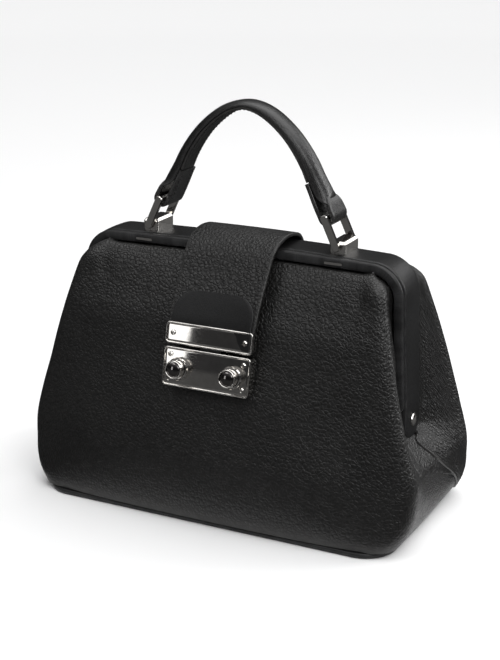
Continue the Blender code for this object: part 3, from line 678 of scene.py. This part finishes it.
def face_and_roll(z, slim=0.0):
    """Right half of a section up to the end of the corner's roll: x, |y|. A slim corner stands in."""
    corner_x, corner_y = body_at(z, 1) - slim, body_at(z, 2)
    corner_round = read(CORNER, z) - 0.5 * slim
    middle_y = body_at(z, 3)
    turned = smoothstep(z, 0.125, 0.146)
    end_x = body_at(z, 4) * (1 - turned) + (rim_inner_x(z) + RIM_GAP) * turned
    start_x = corner_x - corner_round
    face = [(start_x * s, middle_y - (middle_y - corner_y) * s**3) for s in np.linspace(0, 1, 40)]
    start = Vector(face[-1])
    bend = Vector((corner_x, corner_y))
    away = (Vector((end_x, FOLD_Y)) - bend).normalized()
    stop = bend + away * min(corner_round, (corner_y - 0.0185) / max(0.1, -away.y))
    roll = []
    for t in np.linspace(0, 1, 12):
        spot = start * (1 - t) ** 2 + bend * 2 * t * (1 - t) + stop * t**2
        roll.append((spot.x, spot.y))
    return np.array(face), np.array(roll)


def end_x_at(y, z):
    """x of the end's surface at |y| and a height."""
    stop = face_and_roll(z)[1][-1]
    fold_x = body_at(z, 4)
    share = (abs(y) - FOLD_Y) / (stop[1] - FOLD_Y)
    eased = min(1.0, max(0.0, share))
    eased = eased * eased * (3 - 2 * eased) * 0.35 + eased * 0.65
    if share > 1:
        eased += (share - 1) * 0.65
    return fold_x + (stop[0] - fold_x) * eased


def half_section(z, tail, counts, slim=0.0):
    """Right half at a height: the face, the roll and a tail of x, |y| points after it, in three even runs."""
    face, roll = face_and_roll(z, slim)
    return np.concatenate([
        spline(face, counts[0]),
        spline(roll, counts[1] + 1)[1:],
        spline(np.concatenate([roll[-1:], tail]), counts[2] + 1)[1:],
    ])


def front_tail(z, slim=0.0):
    """The front gusset from the roll's end to under the frame's rim, or the lap over the low end below it."""
    stop = face_and_roll(z, slim)[1][-1]
    if z > TUCK_FOOT_Z:
        end_x, end_y = rim_inner_x(z), -FRONT_TUCK_Y
        crest_x = end_x + 0.0042 * smoothstep(z, 0.070, 0.090)
        crest_y = 0.0195 + 0.003 * smoothstep(z, 0.10, 0.14)
        if stop[1] - crest_y < 0.003:
            crest_y = end_y + (stop[1] - end_y) * 0.45
        crest_x = min(crest_x, end_x + 0.5 * max(0.0, stop[0] - end_x))
        middle = ((stop[0] * 0.45 + crest_x * 0.55) - 0.0006 - 0.35 * slim, stop[1] * 0.5 + crest_y * 0.5)
        return np.array([middle, (crest_x, crest_y), (crest_x - 0.0012, crest_y - 0.0018), (end_x, end_y)])
    reach, sink = read(WRAP, z), read(WRAP_SINK, z)
    points = []
    for share in (0.25, 0.5, 0.75, 1.0):
        y = stop[1] - reach * share
        points.append((end_x_at(y, z) - sink * share, y))
    return np.array(points)


def push(grid, amount):
    return grid + normals_of(grid) * amount[..., None]


def drift(grid, scale, seed):
    """Smooth noise over a grid's points, about -1 to 1."""
    rows = [[noise.noise(Vector(p) * scale + Vector((seed, 0, 0))) for p in row] for row in grid]
    return np.array(rows)


def border_fade(shape, rows, cols):
    """1 inside a grid and 0 at its border."""
    i = np.minimum(np.arange(shape[0]), np.arange(shape[0])[::-1]) / rows
    j = np.minimum(np.arange(shape[1]), np.arange(shape[1])[::-1]) / cols
    return np.clip(i, 0, 1)[:, None] * np.clip(j, 0, 1)[None, :]


def tucked(grid, y, drop, flare, bulge):
    """A skin's grid with rows added that lead its top edge under the roof's rim."""
    top = []
    for x in grid[-1, :, 0]:
        across = float(np.clip(x, -ROOF_HALF, ROOF_HALF))
        height = ROOF_Z - RIM_DEPTH - drop + ROOF_CROWN * (1 - (across / ROOF_HALF) ** 2)
        tuck = flare * smoothstep(abs(x), ROOF_HALF - 0.004, ROOF_HALF + 0.001)
        across += math.copysign(0.0012 * tuck, x)
        top.append((across, y + 0.0006 * tuck, height + 0.0022 * tuck))
    rows = [grid]
    for share in (0.25, 0.55, 0.82, 1.0):
        row = grid[-1] * (1 - share) + np.array(top) * share
        row[:, 2] += bulge * math.sin(math.pi * min(1.0, share * 1.1)) * (share < 1)
        rows.append(row[None])
    return np.concatenate(rows)


def front_grid():
    """The front leather from the base to under the roof's rim, as rows of points from left to right."""
    counts = (52, 12, 18)
    rows = []
    levels = list(np.linspace(BASE_Z, 0.146, 82)) + [0.1478, 0.1495, 0.1510, 0.1522, 0.1532, 0.1540, 0.1545]
    for z in levels:
        slim = read(SLIM, z)
        half = half_section(z, front_tail(z), counts)
        right = half_section(z, front_tail(z, slim), counts, slim)
        rows.append([(x, -y, z) for x, y in np.concatenate([half[:0:-1] * (-1, 1), right])])
    grid = np.array(rows)
    return relax(tucked(grid, FRONT_TUCK_Y, 0.0007, 1.0, 0.0009), 5)


def thin_top(rows):
    """A skin's thickness by row: it thins where it tucks under the rim."""
    return SKIN_THICK * np.interp(np.arange(rows)[::-1], (0, 4, 12), (0.35, 0.45, 1.0))


def leather_front():
    """The front with both its gussets, reaching from the still base to the turning frame."""
    grid = front_grid()
    fade = border_fade(grid.shape, 9, 10)
    swell = drift(grid, 24.0, 3.0) * 0.0006 + drift(grid, 58.0, 9.0) * 0.00022
    grid = push(grid, swell * fade)
    height = grid[..., 2]
    wide = np.abs(grid[..., 0])
    puff = np.exp(-(((wide - 0.0925) / 0.0050) ** 2 + ((height - 0.1475) / 0.0050) ** 2)) * 0.0013
    dent = np.exp(-(((wide - 0.0835) / 0.0040) ** 2 + ((height - 0.1425) / 0.0070) ** 2)) * 0.0009
    grid = push(grid, (puff - dent) * fade * (np.abs(grid[..., 1]) > 0.017))
    edge = np.zeros(grid.shape[:2])
    edge[:5] = np.array((1.0, 1.0, 0.6, 0.3, 0.1))[:, None]
    # A faint lighter line down each front corner's roll: a painted highlight, with a little wear.
    crest_highlight = np.exp(-(((np.abs(grid[..., 0]) - [[body_at(z, 1) for z in row] for row in height]) / 0.006) ** 2))
    edge = np.maximum(edge, crest_highlight * 0.16 * (np.abs(grid[..., 1]) > 0.03))
    piece = skin("leather_front", grid, thin_top(len(grid)), edge, [PEBBLED, LINING])
    nodes = ("panel_front_lower", "panel_front_upper", "gusset_front_left", "gusset_front_right")
    wear(piece, None, nodes)
    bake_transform(piece)


def back_tail(z):
    """The back gusset from the roll's end to behind the frame's cover, and round its lug below."""
    stop = face_and_roll(z)[1][-1]
    end_y = 0.0118
    if z < PIVOT_Z:
        drop = PIVOT_Z - z
        end_y = -0.0005 + math.sqrt(max(0.0, (LUG_RADIUS + 0.0006) ** 2 - drop**2))
    if z > 0.094:
        end_y = 0.0118 + 0.0016 * smoothstep(z, 0.094, 0.098)
    upper = smoothstep(z, 0.10, 0.125)
    end_x = end_x_at(end_y, z) * (1 - upper) + (rim_inner_x(z) + 0.0022) * upper
    mixed = smoothstep(z, 0.07, 0.12)
    points = []
    for share in (0.25, 0.5, 0.75, 1.0):
        y = stop[1] + (end_y - stop[1]) * share
        straight = stop[0] + (end_x - stop[0]) * share
        points.append((end_x_at(y, z) * (1 - mixed) + straight * mixed, y))
    points[-1] = (end_x, end_y)
    return np.array(points)


def back_grid():
    """The back leather, whose lowest row climbs the seam over each low end, and its half section's counts."""
    counts = (46, 12, 30)
    face, roll, tail = counts
    low = [BASE_Z] * face
    low += [BASE_Z + (SEAM[-1][1] - BASE_Z) * smoothstep((k + 1) / roll, 0, 1) for k in range(roll)]
    low = np.array(low + [read(SEAM, 1 - (k + 1) / tail) for k in range(tail)])
    kernel = np.array((1, 4, 6, 4, 1)) / 16
    for _ in range(4):
        low[2:-2] = np.convolve(low, kernel, "valid")
    levels = np.linspace(BASE_Z, SKIN_TOP, 240)
    table = np.array([half_section(z, back_tail(z), counts) for z in np.round(levels, 5)])
    rows = []
    for step in np.concatenate([np.linspace(0, 0.36, 66)[:-1], np.linspace(0.36, 1, 56)]):
        half = []
        for k, z in enumerate(low + (BACK_TOP - low) * step):
            half.append((np.interp(z, levels, table[:, k, 0]), np.interp(z, levels, table[:, k, 1]), z))
        half = np.array(half)
        rows.append(np.concatenate([half[:0:-1] * (-1, 1, 1), half]))
    grid = np.array(rows)
    return relax(tucked(grid, BACK_TUCK_Y, 0.0009, 0.0, 0.0), 3), counts


def leather_back():
    """The back with both its gussets, puckered along the seam over each low end."""
    grid, counts = back_grid()
    fade = border_fade(grid.shape, 6, 8)
    swell = drift(grid, 24.0, 21.0) * 0.0006
    column = np.abs(np.arange(grid.shape[1]) - (sum(counts) - 1))
    gusset = np.clip((column - counts[0] - counts[1] * 0.5) / 6, 0, 1)[None, :]
    up = runs(grid)[..., 1]
    wander = drift(grid, 120.0, 5.0) * 0.9 + drift(grid, 330.0, 8.0) * 0.45
    folds = np.sin(2 * math.pi * (up / 0.0029 + wander))
    strength = np.exp(-((up / 0.034) ** 2)) * gusset * (0.55 + 0.45 * drift(grid, 95.0, 31.0))
    puckers = folds * strength * 0.00042
    # The back leather's edge along the seam is marked to paint lighter: wear plus a painted highlight along the
    # folded edge.
    edge = np.clip(1 - up / 0.0022, 0, 1) * gusset
    edge[-3:] = 1.0
    grid = push(grid, (swell * fade) + puckers * np.clip(up / 0.003, 0, 1) + 0.0007 * gusset * (1 - fade * 0.3))
    piece = skin("leather_back", grid, thin_top(len(grid)), edge, [PEBBLED, LINING], (0.7, 0.3))
    wear(piece, "body", ("panel_back", "gusset_back_left", "gusset_back_right"))


def end_top_z(y):
    """Top of the low end's leather: under the front's gusset, then round the lug, then under the back."""
    if y < -0.0125:
        return 0.0615
    if y < 0.0:
        return PIVOT_Z - math.sqrt(max(0.0, (LUG_RADIUS + 0.0004) ** 2 - (y + 0.0005) ** 2)) - 0.0002
    return read(SEAM, min(1.0, y / 0.0475)) + 0.0024


def leather_end(side, name):
    """A low end from beneath the front leather's lap to beneath the back leather's seam."""
    rows, cols = 46, 66
    grid = np.zeros((rows, cols, 3))
    stop_low = face_and_roll(BASE_Z)[1][-1][1]
    for j in range(cols):
        share = j / (cols - 1)
        top = end_top_z(-stop_low + (stop_low + END_BACK) * share)
        for i in range(rows):
            z = BASE_Z + (top - BASE_Z) * (i / (rows - 1))
            stop = face_and_roll(z)[1][-1][1]
            front = read(END_REACH, z) * (0.10 + 0.25 * smoothstep(z, 0.030, 0.050)) - stop
            y = front + (END_BACK - front) * share
            x = end_x_at(y, z) - 0.0003
            x -= 0.0030 * smoothstep(y - front, 0.010, 0.0) * max(0.45, smoothstep(z, 0.016, 0.034))
            x += 0.0008 * smoothstep(z, 0.046, 0.056) * smoothstep(-y, 0.004, 0.012)
            lap = read(WRAP, z) - stop
            x -= LAP_DEPTH * smoothstep(y, lap + 0.004, lap - 0.004) * smoothstep(z, 0.040, 0.030)
            grid[i, j] = (x * side, y, z)
    grid = relax(grid, 2)
    under = np.zeros((rows, cols))
    for j in range(cols):
        if grid[rows // 2, j, 1] > 0:
            under[-6:, j] = np.linspace(0, 1, 6)
    grid[..., 0] -= side * 0.0009 * under
    ripples = np.sin(2 * math.pi * ((grid[..., 2] - 0.4 * grid[..., 1]) / 0.0042 + drift(grid, 100.0, 4.0)))
    ripples *= 0.00010 * border_fade(grid.shape, 4, 10)
    grid = push(grid, ripples + drift(grid, 40.0, 14.0) * 0.0003 * border_fade(grid.shape, 6, 8))
    edge = np.zeros((rows, cols))
    edge[:2] = 0.8
    thick = SKIN_THICK * np.interp(np.arange(rows)[::-1], (0, 7, 12), (0.35, 0.45, 1.0))
    piece = skin(f"leather_end_{name}", grid, thick, edge, [PEBBLED, LINING], (1.3 + side * 0.2, 0.9))
    wear(piece, "body", (f"end_{name}",))


# --- Frame ---


def frame_line(low_z):
    """The frame's outer line from the left arm's foot over the roof to the right one's, in fine steps."""
    arc_z = ROOF_Z - FRAME_CORNER
    right = [(read(ARM_X, z), z) for z in np.linspace(low_z, arc_z, 30)]
    right += [(ROOF_HALF + FRAME_CORNER * c, arc_z + FRAME_CORNER * s) for c, s in arc(range(5, 91, 5))]
    for x in np.linspace(ROOF_HALF, 0, 24)[1:]:
        right.append((x, ROOF_Z + ROOF_CROWN * (1 - (x / ROOF_HALF) ** 2)))
    points = [(-x, z) for x, z in right] + [(x, z) for x, z in right[-2::-1]]
    return [(x, 0, z) for x, z in points]


def frame_pieces():
    """The leather-covered band with its rounded lugs, and the rolled edges in front of it and behind."""
    line = frame_line(0.076)
    path, spans = [], []
    lug_y = (COVER_Y[0] + COVER_Y[1]) / 2
    for c, s in arc([*range(88, 14, -8), 8, 0]):
        path.append((ARM_X[0][1], 0, PIVOT_Z - LUG_RADIUS * s))
        spans.append((lug_y - LUG_RADIUS * c, lug_y + LUG_RADIUS * c))
    path.append((ARM_X[0][1], 0, 0.070))
    spans.append((COVER_Y[0] + 0.0001, COVER_Y[1] - 0.0001))
    right = list(reversed(path))
    whole = [(-x, y, z) for x, y, z in path] + line + right
    limits = spans + [COVER_Y] * len(line) + list(reversed(spans))
    band = ribbon("frame_band", whole, (0, 1, 0), limits, 0, -COVER_THICK, SMOOTH, 0.0003, 0.0012, 15)
    wear(band, "body", ("frame_cover",))
    rims = (
        ("front", 0.0735, (-0.0162, -0.0123), -0.0002, "front_frame", 0.0019),
        ("back", 0.0970, (0.0113, 0.0126), -0.0022, "body", 0.0006),
    )
    for end, low_z, span, outer, body, bend in rims:
        path = frame_line(low_z)
        run = lengths(path)
        spans, tops, bottoms = [], [], []
        for at in run:
            rest = min(at, run[-1] - at)
            size = math.sqrt(max(0.04, 1 - max(0.0, 1 - rest / 0.0045) ** 2))
            middle = sum(span) / 2
            half = (span[1] - span[0]) / 2 * (0.5 + 0.5 * size)
            spans.append((middle - half, middle + half))
            centre = (outer - RIM_DEPTH) / 2
            reach = (outer + RIM_DEPTH) / 2 * size
            tops.append(centre + reach)
            bottoms.append(centre - reach)
        name = f"rim_{end}_leather"
        rim = ribbon(name, path, (0, 1, 0), spans, tops, bottoms, SMOOTH, 0.0, bend, 7, None, 0.0005)
        wear(rim, body, (f"rim_{end}",))


# --- Flap ---

LOCK_ORIGIN = np.array((0, -0.0580, 0.0837))
LOCK_TILT = math.radians(12)
LOCK_UP = np.array((0, math.sin(LOCK_TILT), math.cos(LOCK_TILT)))
LOCK_OUT = np.array((0, -math.cos(LOCK_TILT), math.sin(LOCK_TILT)))
# The strap's outer line from the back wall over the roof to the lock: y, z
STRAP = (
    (0.0340, 0.1420), (0.0296, 0.1490), (0.0258, 0.1538), (0.0228, 0.1566), (0.0198, 0.1580),
    (0.0170, 0.1598), (0.0150, 0.1624), (0.0128, 0.1648), (0.0095, 0.1668), (0.0045, 0.1682),
    (-0.0010, 0.1689), (-0.0070, 0.1690), (-0.0135, 0.1679), (-0.0192, 0.1655), (-0.0236, 0.1618),
    (-0.0272, 0.1570), (-0.0308, 0.1508), (-0.0366, 0.1412), (-0.0422, 0.1317), (-0.0478, 0.1215),
)
STRAP_THICK = 0.0022
STRAP_HALF = 0.0292
LOCK_HALF = 0.0285
PATCH_ROUND = 0.0135


def strap_rise(spot, across):
    """The strap's right side stands away from the panel between the roof and the lock."""
    y = -spot[1]
    length = smoothstep(y, 0.012, 0.034) * (1 - 0.75 * smoothstep(y, 0.040, 0.056))
    side = max(0.0, (across + 0.012) / 0.041) ** 1.6
    return 0.0026 * length * side


def flap_pieces():
    """The strap, curving where it leaves the back wall, and the smooth patch above its lock plate."""
    low = [tuple((LOCK_ORIGIN + LOCK_UP * up + LOCK_OUT * -0.0018)[1:]) for up in (0.0340, 0.0268)]
    path = [(0, y, z) for y, z in spline(STRAP + tuple(low), 110)]
    halves = [read(((0.120, LOCK_HALF), (0.150, STRAP_HALF)), p[2]) for p in path]
    spans = [(-half, half) for half in halves]
    strap = ribbon("strap", path, (1, 0, 0), spans, 0, -STRAP_THICK, PEBBLED, 0.0002, 0.0006, 31, strap_rise)
    wear(strap, None, ("flap", "flap_anchor"))
    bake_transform(strap)
    front = [p for p in path if p[1] < -0.030 and p[2] < 0.1386]
    limits = []
    for at in lengths(front):
        rest = max(0.0, PATCH_ROUND - at)
        wide = LOCK_HALF - 0.0019 - PATCH_ROUND + math.sqrt(max(0.0, PATCH_ROUND**2 - rest**2))
        limits.append((-wide, wide))
    shape = (0.0011, 0.0001, SMOOTH, 0.0, 0.0005, 21, strap_rise, 0.0006)
    patch = ribbon("strap_patch", front, (1, 0, 0), limits, *shape)
    wear(patch, "flap", ("flap_patch",))


# --- Handle ---

RING_LEAN = math.radians(25)
RING_LENGTH = 0.0180
LOOP_AT = np.array((0.0620 - RING_LENGTH * math.sin(RING_LEAN), 0, 0.1662 + RING_LENGTH * math.cos(RING_LEAN)))
END_ALONG = unit(np.array((-0.447, 0, 0.894)))
END_OUT = np.array((END_ALONG[2], 0, -END_ALONG[0]))
# The handle's outer line down its right half: x, z and the whole thickness there
HANDLE = (
    (0.0000, 0.2452, 0.0050), (0.0080, 0.2441, 0.0054), (0.0160, 0.2411, 0.0061), (0.0240, 0.2359, 0.0066),
    (0.0320, 0.2288, 0.0071), (0.0390, 0.2206, 0.0078), (0.0445, 0.2125, 0.0084), (0.0485, 0.2052, 0.0090),
)
HANDLE_HALF = 0.0076
# Half width of a loop along its length: it tapers into the grip
LOOP_WIDE = ((0.0, 0.0040), (0.063, 0.0058), (0.107, 0.0076), (0.166, 0.0090), (0.225, 0.0095), (0.284, 0.0097))
# The grip's ends over the loops: distance along, thickness and half width
GRIP_ENDS = (
    (0.0070, 0.0024, 0.0090), (0.0092, 0.0046, 0.0088), (0.0118, 0.0064, 0.0083), (0.0148, 0.0072, 0.0079),
)
# A loop's outer leg: distance along and how deep it sinks into the grip
LOOP_LEG = ((0.0135, 0.0016), (0.0105, 0.0009), (0.0084, 0.0003), (0.0056, 0.0), (0.0028, 0.0), (0.0, 0.0))
WELT = 0.0013
LOOP_RADIUS = 0.0025
LOOP_THICK = 0.0026
FACE_THICK = 0.0016
FACE_STITCH_INSET = 0.0017
TAB_STITCH_Y = 0.0064


def handle_grip():
    """The rounded grip: a padded roll over a flat strap, thinning into the two loops."""
    rows = []
    outside = LOOP_RADIUS + LOOP_THICK
    for along, thick, half in GRIP_ENDS:
        spot = LOOP_AT + END_ALONG * along + END_OUT * (outside + 0.0003)
        rows.append((spot[0], spot[2], thick, half))
    for x, z, thick in reversed(HANDLE):
        rows.append((x, z, thick - FACE_THICK - 0.0002, HANDLE_HALF))
    whole = rows + [(-x, z, thick, half) for x, z, thick, half in reversed(rows[:-1])]
    line = spline(whole, 120)
    path = np.stack([line[:, 0], np.zeros(len(line)), line[:, 1]], 1)
    along = unit(np.gradient(path, axis=0))
    out = np.cross((0, 1, 0), along)
    out *= np.sign(np.sum(out * (path - (0, 0, 0.18)), axis=1))[:, None]
    run = lengths(path)
    turns = np.radians(np.concatenate([np.linspace(0, 180, 25), np.linspace(200, 340, 9)]))
    points, cuts, edges = [], [], []
    for i, (x, z, thick, half) in enumerate(line):
        rest = min(run[i], run[-1] - run[i])
        sink = 0.0016 * (1 - smoothstep(rest, 0.0, 0.004))
        for a in turns:
            cosine, sine = math.cos(a), math.sin(a)
            if sine >= -1e-9:
                up = abs(sine) ** 0.86
                off = -thick + WELT + (thick - WELT) * up - sink * up
                across = half * (1 - 0.055 * smoothstep(up, 0.02, 0.25))
                across *= math.copysign(abs(cosine) ** 0.94, cosine)
            else:
                across = half * math.copysign(min(1.0, abs(cosine) * 1.3), cosine)
                off = max(-thick, -thick + WELT * (0.5 + 0.5 * sine) - WELT * 0.3)
            points.append(path[i] + np.array((0, across, 0)) + out[i] * off)
            cuts.append((a * half, run[i], 0.0))
            # The welt's sides are marked as edges, painted lighter: wear plus a painted highlight.
            edges.append(0.75 * max(0.0, 1 - abs(sine) / 0.22))
    faces = tube(len(path), len(turns))
    grip = place("grip_leather", points, faces, cuts, edges, [HANDLE_LEATHER], sharp=60)
    wear(grip, "handle", ("handle_grip",))


def handle_face():
    """The pebbled strap sewn under the grip, and its two rows of stitches."""
    line = spline([(-x, z, thick) for x, z, thick in reversed(HANDLE[1:])] + list(HANDLE), 90)
    outer = np.stack([line[:, 0], np.zeros(len(line)), line[:, 1]], 1)
    along = unit(np.gradient(outer, axis=0))
    out = np.cross(along, (0, 1, 0))
    out *= np.sign(out[:, 2] + 1e-9)[:, None]
    path, out = (outer - out * (line[:, 2:3] - FACE_THICK))[::-1], out[::-1]
    spans = [(-HANDLE_HALF + 0.0002, HANDLE_HALF - 0.0002)] * len(path)
    face = ribbon("grip_face", path, (0, -1, 0), spans, 0, -FACE_THICK, PEBBLED, 0.0, 0.0005, 13)
    wear(face, "handle", ("handle_face",))
    under = path - out * (FACE_THICK + 0.00002)
    for side, end in ((1, "back"), (-1, "front")):
        line = under + np.array((0, side * (HANDLE_HALF - FACE_STITCH_INSET), 0))
        wear(stitches(f"stitches_face_{end}", line[2:-2], -out[2:-2], 0.0026), "handle")


def handle_loops():
    """The straps round the rings' upper bars, and the stitches on each one's inner tab."""
    middle = LOOP_RADIUS + LOOP_THICK / 2
    spots = [LOOP_AT + END_OUT * (middle - sink) + END_ALONG * s for s, sink in LOOP_LEG]
    spots += [LOOP_AT + (END_OUT * c - END_ALONG * s) * middle for c, s in arc(range(20, 181, 20))]
    spots += [LOOP_AT - END_OUT * middle + END_ALONG * s for s in (0.004, 0.008, 0.012, 0.016, 0.0195, 0.0222)]
    line = spline([(p[0], p[2]) for p in spots], 64)
    half = LOOP_THICK / 2
    for side, end in ((1, "right"), (-1, "left")):
        path = np.stack([line[:, 0] * side, np.zeros(len(line)), line[:, 1]], 1)
        spans = []
        for share in np.linspace(0, 1, len(path)):
            wide = read(LOOP_WIDE, share) - 0.0014 * smoothstep(share, 0.66, 1.0)
            spans.append((-wide, wide))
        name = f"ring_loop_{end}"
        loop = ribbon(name, path, (0, side, 0), spans, half, -half, HANDLE_LEATHER, 0.0, 0.0007, 13)
        wear(loop, "handle", (f"handle_loop_{end}",))
        inner = LOOP_AT - END_OUT * (LOOP_RADIUS + LOOP_THICK + 0.00002)
        for row in (-1, 1):
            ends = [inner + END_ALONG * s + (0, row * TAB_STITCH_Y, 0) for s in np.linspace(0.0055, 0.0207, 15)]
            ends = [p * (side, 1, 1) for p in ends]
            ways = [-END_OUT * (side, 1, 1)] * len(ends)
            name = f"stitches_tab_{end}_{'back' if row > 0 else 'front'}"
            wear(stitches(name, ends, ways, 0.0024), "handle")


# --- Lock ---

LOCK_WIDTH = 0.0570
LOCK_HEIGHT = 0.0233
HASP_UP = (0.0251, 0.0381)
BUTTON_AT = (0.0175, 0.0108)
BEAD_WIDE = 0.0012
FIELD_OUT = 0.00015
TURNED_SIDES = 64
# Height of a bright clip's bar as a share of the clip's
CLIP_SHARE = 0.42


def on_lock(x, up, out):
    return LOCK_ORIGIN + np.array((x, 0, 0)) + LOCK_UP * up + LOCK_OUT * out


def rounded(width, height, radius, steps=8):
    """A rectangle's outline with rounded corners."""
    points = []
    for quarter, (sx, sy) in enumerate(((1, 1), (-1, 1), (-1, -1), (1, -1))):
        for c, s in arc(90 * (quarter + step / steps) for step in range(steps + 1)):
            points.append((sx * (width / 2 - radius) + radius * c, sy * (height / 2 - radius) + radius * s))
    return points


def closed_loft(name, rings, material):
    """A closed solid through rings of points, with flat ends."""
    points = [p for ring in rings for p in ring]
    faces = tube(len(rings), len(rings[0]), flip=True)
    return place(name, points, faces, points, [0.0] * len(points), [material])


def beaded_plate(name, middle_up, height, back, node, body):
    """A polished plate whose border is a half-round bead around a sunk field."""
    profile = [(back, 0.0)]
    profile += [(0.0001 + 0.00058 * s, BEAD_WIDE / 2 * (1 - c)) for c, s in arc(range(0, 181, 15))]
    profile += [(FIELD_OUT, BEAD_WIDE + 0.00012), (FIELD_OUT, BEAD_WIDE + 0.0012)]
    rings = []
    for out, inset in profile:
        corner = max(0.0004, 0.0024 - inset)
        ring = rounded(LOCK_WIDTH - 2 * inset, height - 2 * inset, corner)
        rings.append([on_lock(x, middle_up + y, out) for x, y in ring])
    plate = closed_loft(name, rings, NICKEL)
    wear(plate, body, (node,))


def turned_piece(name, profile, x, up, material):
    """A turned piece standing on the lock's face, from radius and height pairs."""
    rings = []
    turn = [2 * math.pi * i / TURNED_SIDES for i in range(TURNED_SIDES)]
    for radius, out in profile:
        rings.append([on_lock(x + radius * math.cos(a), up + radius * math.sin(a), out) for a in turn])
    return closed_loft(name, rings, material)


# A button: stem, straight skirt, groove, rounded lip and flat cup, as radius and height pairs
BUTTON = [
    (0.0026, -0.0050), (0.0026, 0.0029), (0.0050, 0.0029), (0.0054, 0.0033), (0.0054, 0.0052),
    (0.0052, 0.0054), (0.0052, 0.0057), (0.0054, 0.0059), (0.0054, 0.0076),
    *((0.0049 + 0.0005 * c, 0.0076 + 0.0007 * s) for c, s in arc(range(20, 181, 20))),
    (0.00435, 0.0070), (0.0010, 0.0070),
]
# The dark domed centre set into a button's cup
BUTTON_CENTRE = [
    (0.0010, 0.0071), (0.0042, 0.0071), (0.0042, 0.0074),
    *((0.0042 * c, 0.0074 + 0.0011 * s) for c, s in arc(range(8, 89, 8))),
]


def clip_bars():
    """The bright bars that close the frame: the clips' own outline, drawn thin."""
    for end in ("left", "right"):
        node = bpy.data.objects[f"clip_{end}"]
        points = np.array([node.matrix_world @ v.co for v in node.data.vertices])
        middle = (points.max(0) + points.min(0)) / 2
        axes = np.linalg.svd(points - middle, full_matrices=False)[2]
        local = (points - middle) @ axes.T
        local[:, 1] *= CLIP_SHARE
        points = middle + local @ axes
        faces = [tuple(face.vertices) for face in node.data.polygons]
        bar = place(f"clip_bar_{end}", points, faces, points, [0.0] * len(points), [NICKEL])
        wear(bar, "front_frame", (f"clip_{end}",))


def lock_pieces():
    """Both beaded plates, and the two buttons with their dark centres."""
    beaded_plate("lock_face", LOCK_HEIGHT / 2, LOCK_HEIGHT, -0.0009, "lock_plate", "front_frame")
    beaded_plate("hasp_face", sum(HASP_UP) / 2, HASP_UP[1] - HASP_UP[0], -0.0015, "hasp_front", "flap")
    for side, end in ((1, "right"), (-1, "left")):
        x, up = side * BUTTON_AT[0], BUTTON_AT[1]
        knob = turned_piece(f"knob_{end}", BUTTON, x, up, NICKEL)
        wear(knob, f"button_{end}", (f"button_{end}",))
        centre = turned_piece(f"knob_centre_{end}", BUTTON_CENTRE, x, up, BLACK_NICKEL)
        wear(centre, f"button_{end}")


def base_plate():
    """The stiff leather base under the body, with a rounded painted edge."""
    points, edges = [], []
    for z, grow, wear_and_highlight in BASE_EDGE:
        ring = rounded(2 * (BASE_HALF[0] + grow), 2 * (BASE_HALF[1] + grow), BASE_ROUND + grow, 14)
        points += [(x, y, z) for x, y in ring]
        edges += [wear_and_highlight] * len(ring)
    cuts = [(x, y + z, z) for x, y, z in points]
    faces = tube(len(BASE_EDGE), len(ring), flip=True)
    base = place("base_leather", points, faces, cuts, edges, [SMOOTH])
    wear(base, "body", ("base_panel",))


leather_front()
leather_back()
leather_end(1, "right")
leather_end(-1, "left")
frame_pieces()
flap_pieces()
handle_grip()
handle_face()
handle_loops()
lock_pieces()
clip_bars()
base_plate()

for node in NODES.values():
    if node.hide_render:
        continue
    slot_name = node.data.materials[0].name if node.data.materials else ""
    wanted = NICKEL if "nickel" in slot_name else STEEL if "steel" in slot_name else BOARD
    if node.name == "hasp_tongue":
        wanted = DARK_STEEL
    node.data.materials.clear()
    node.data.materials.append(wanted)
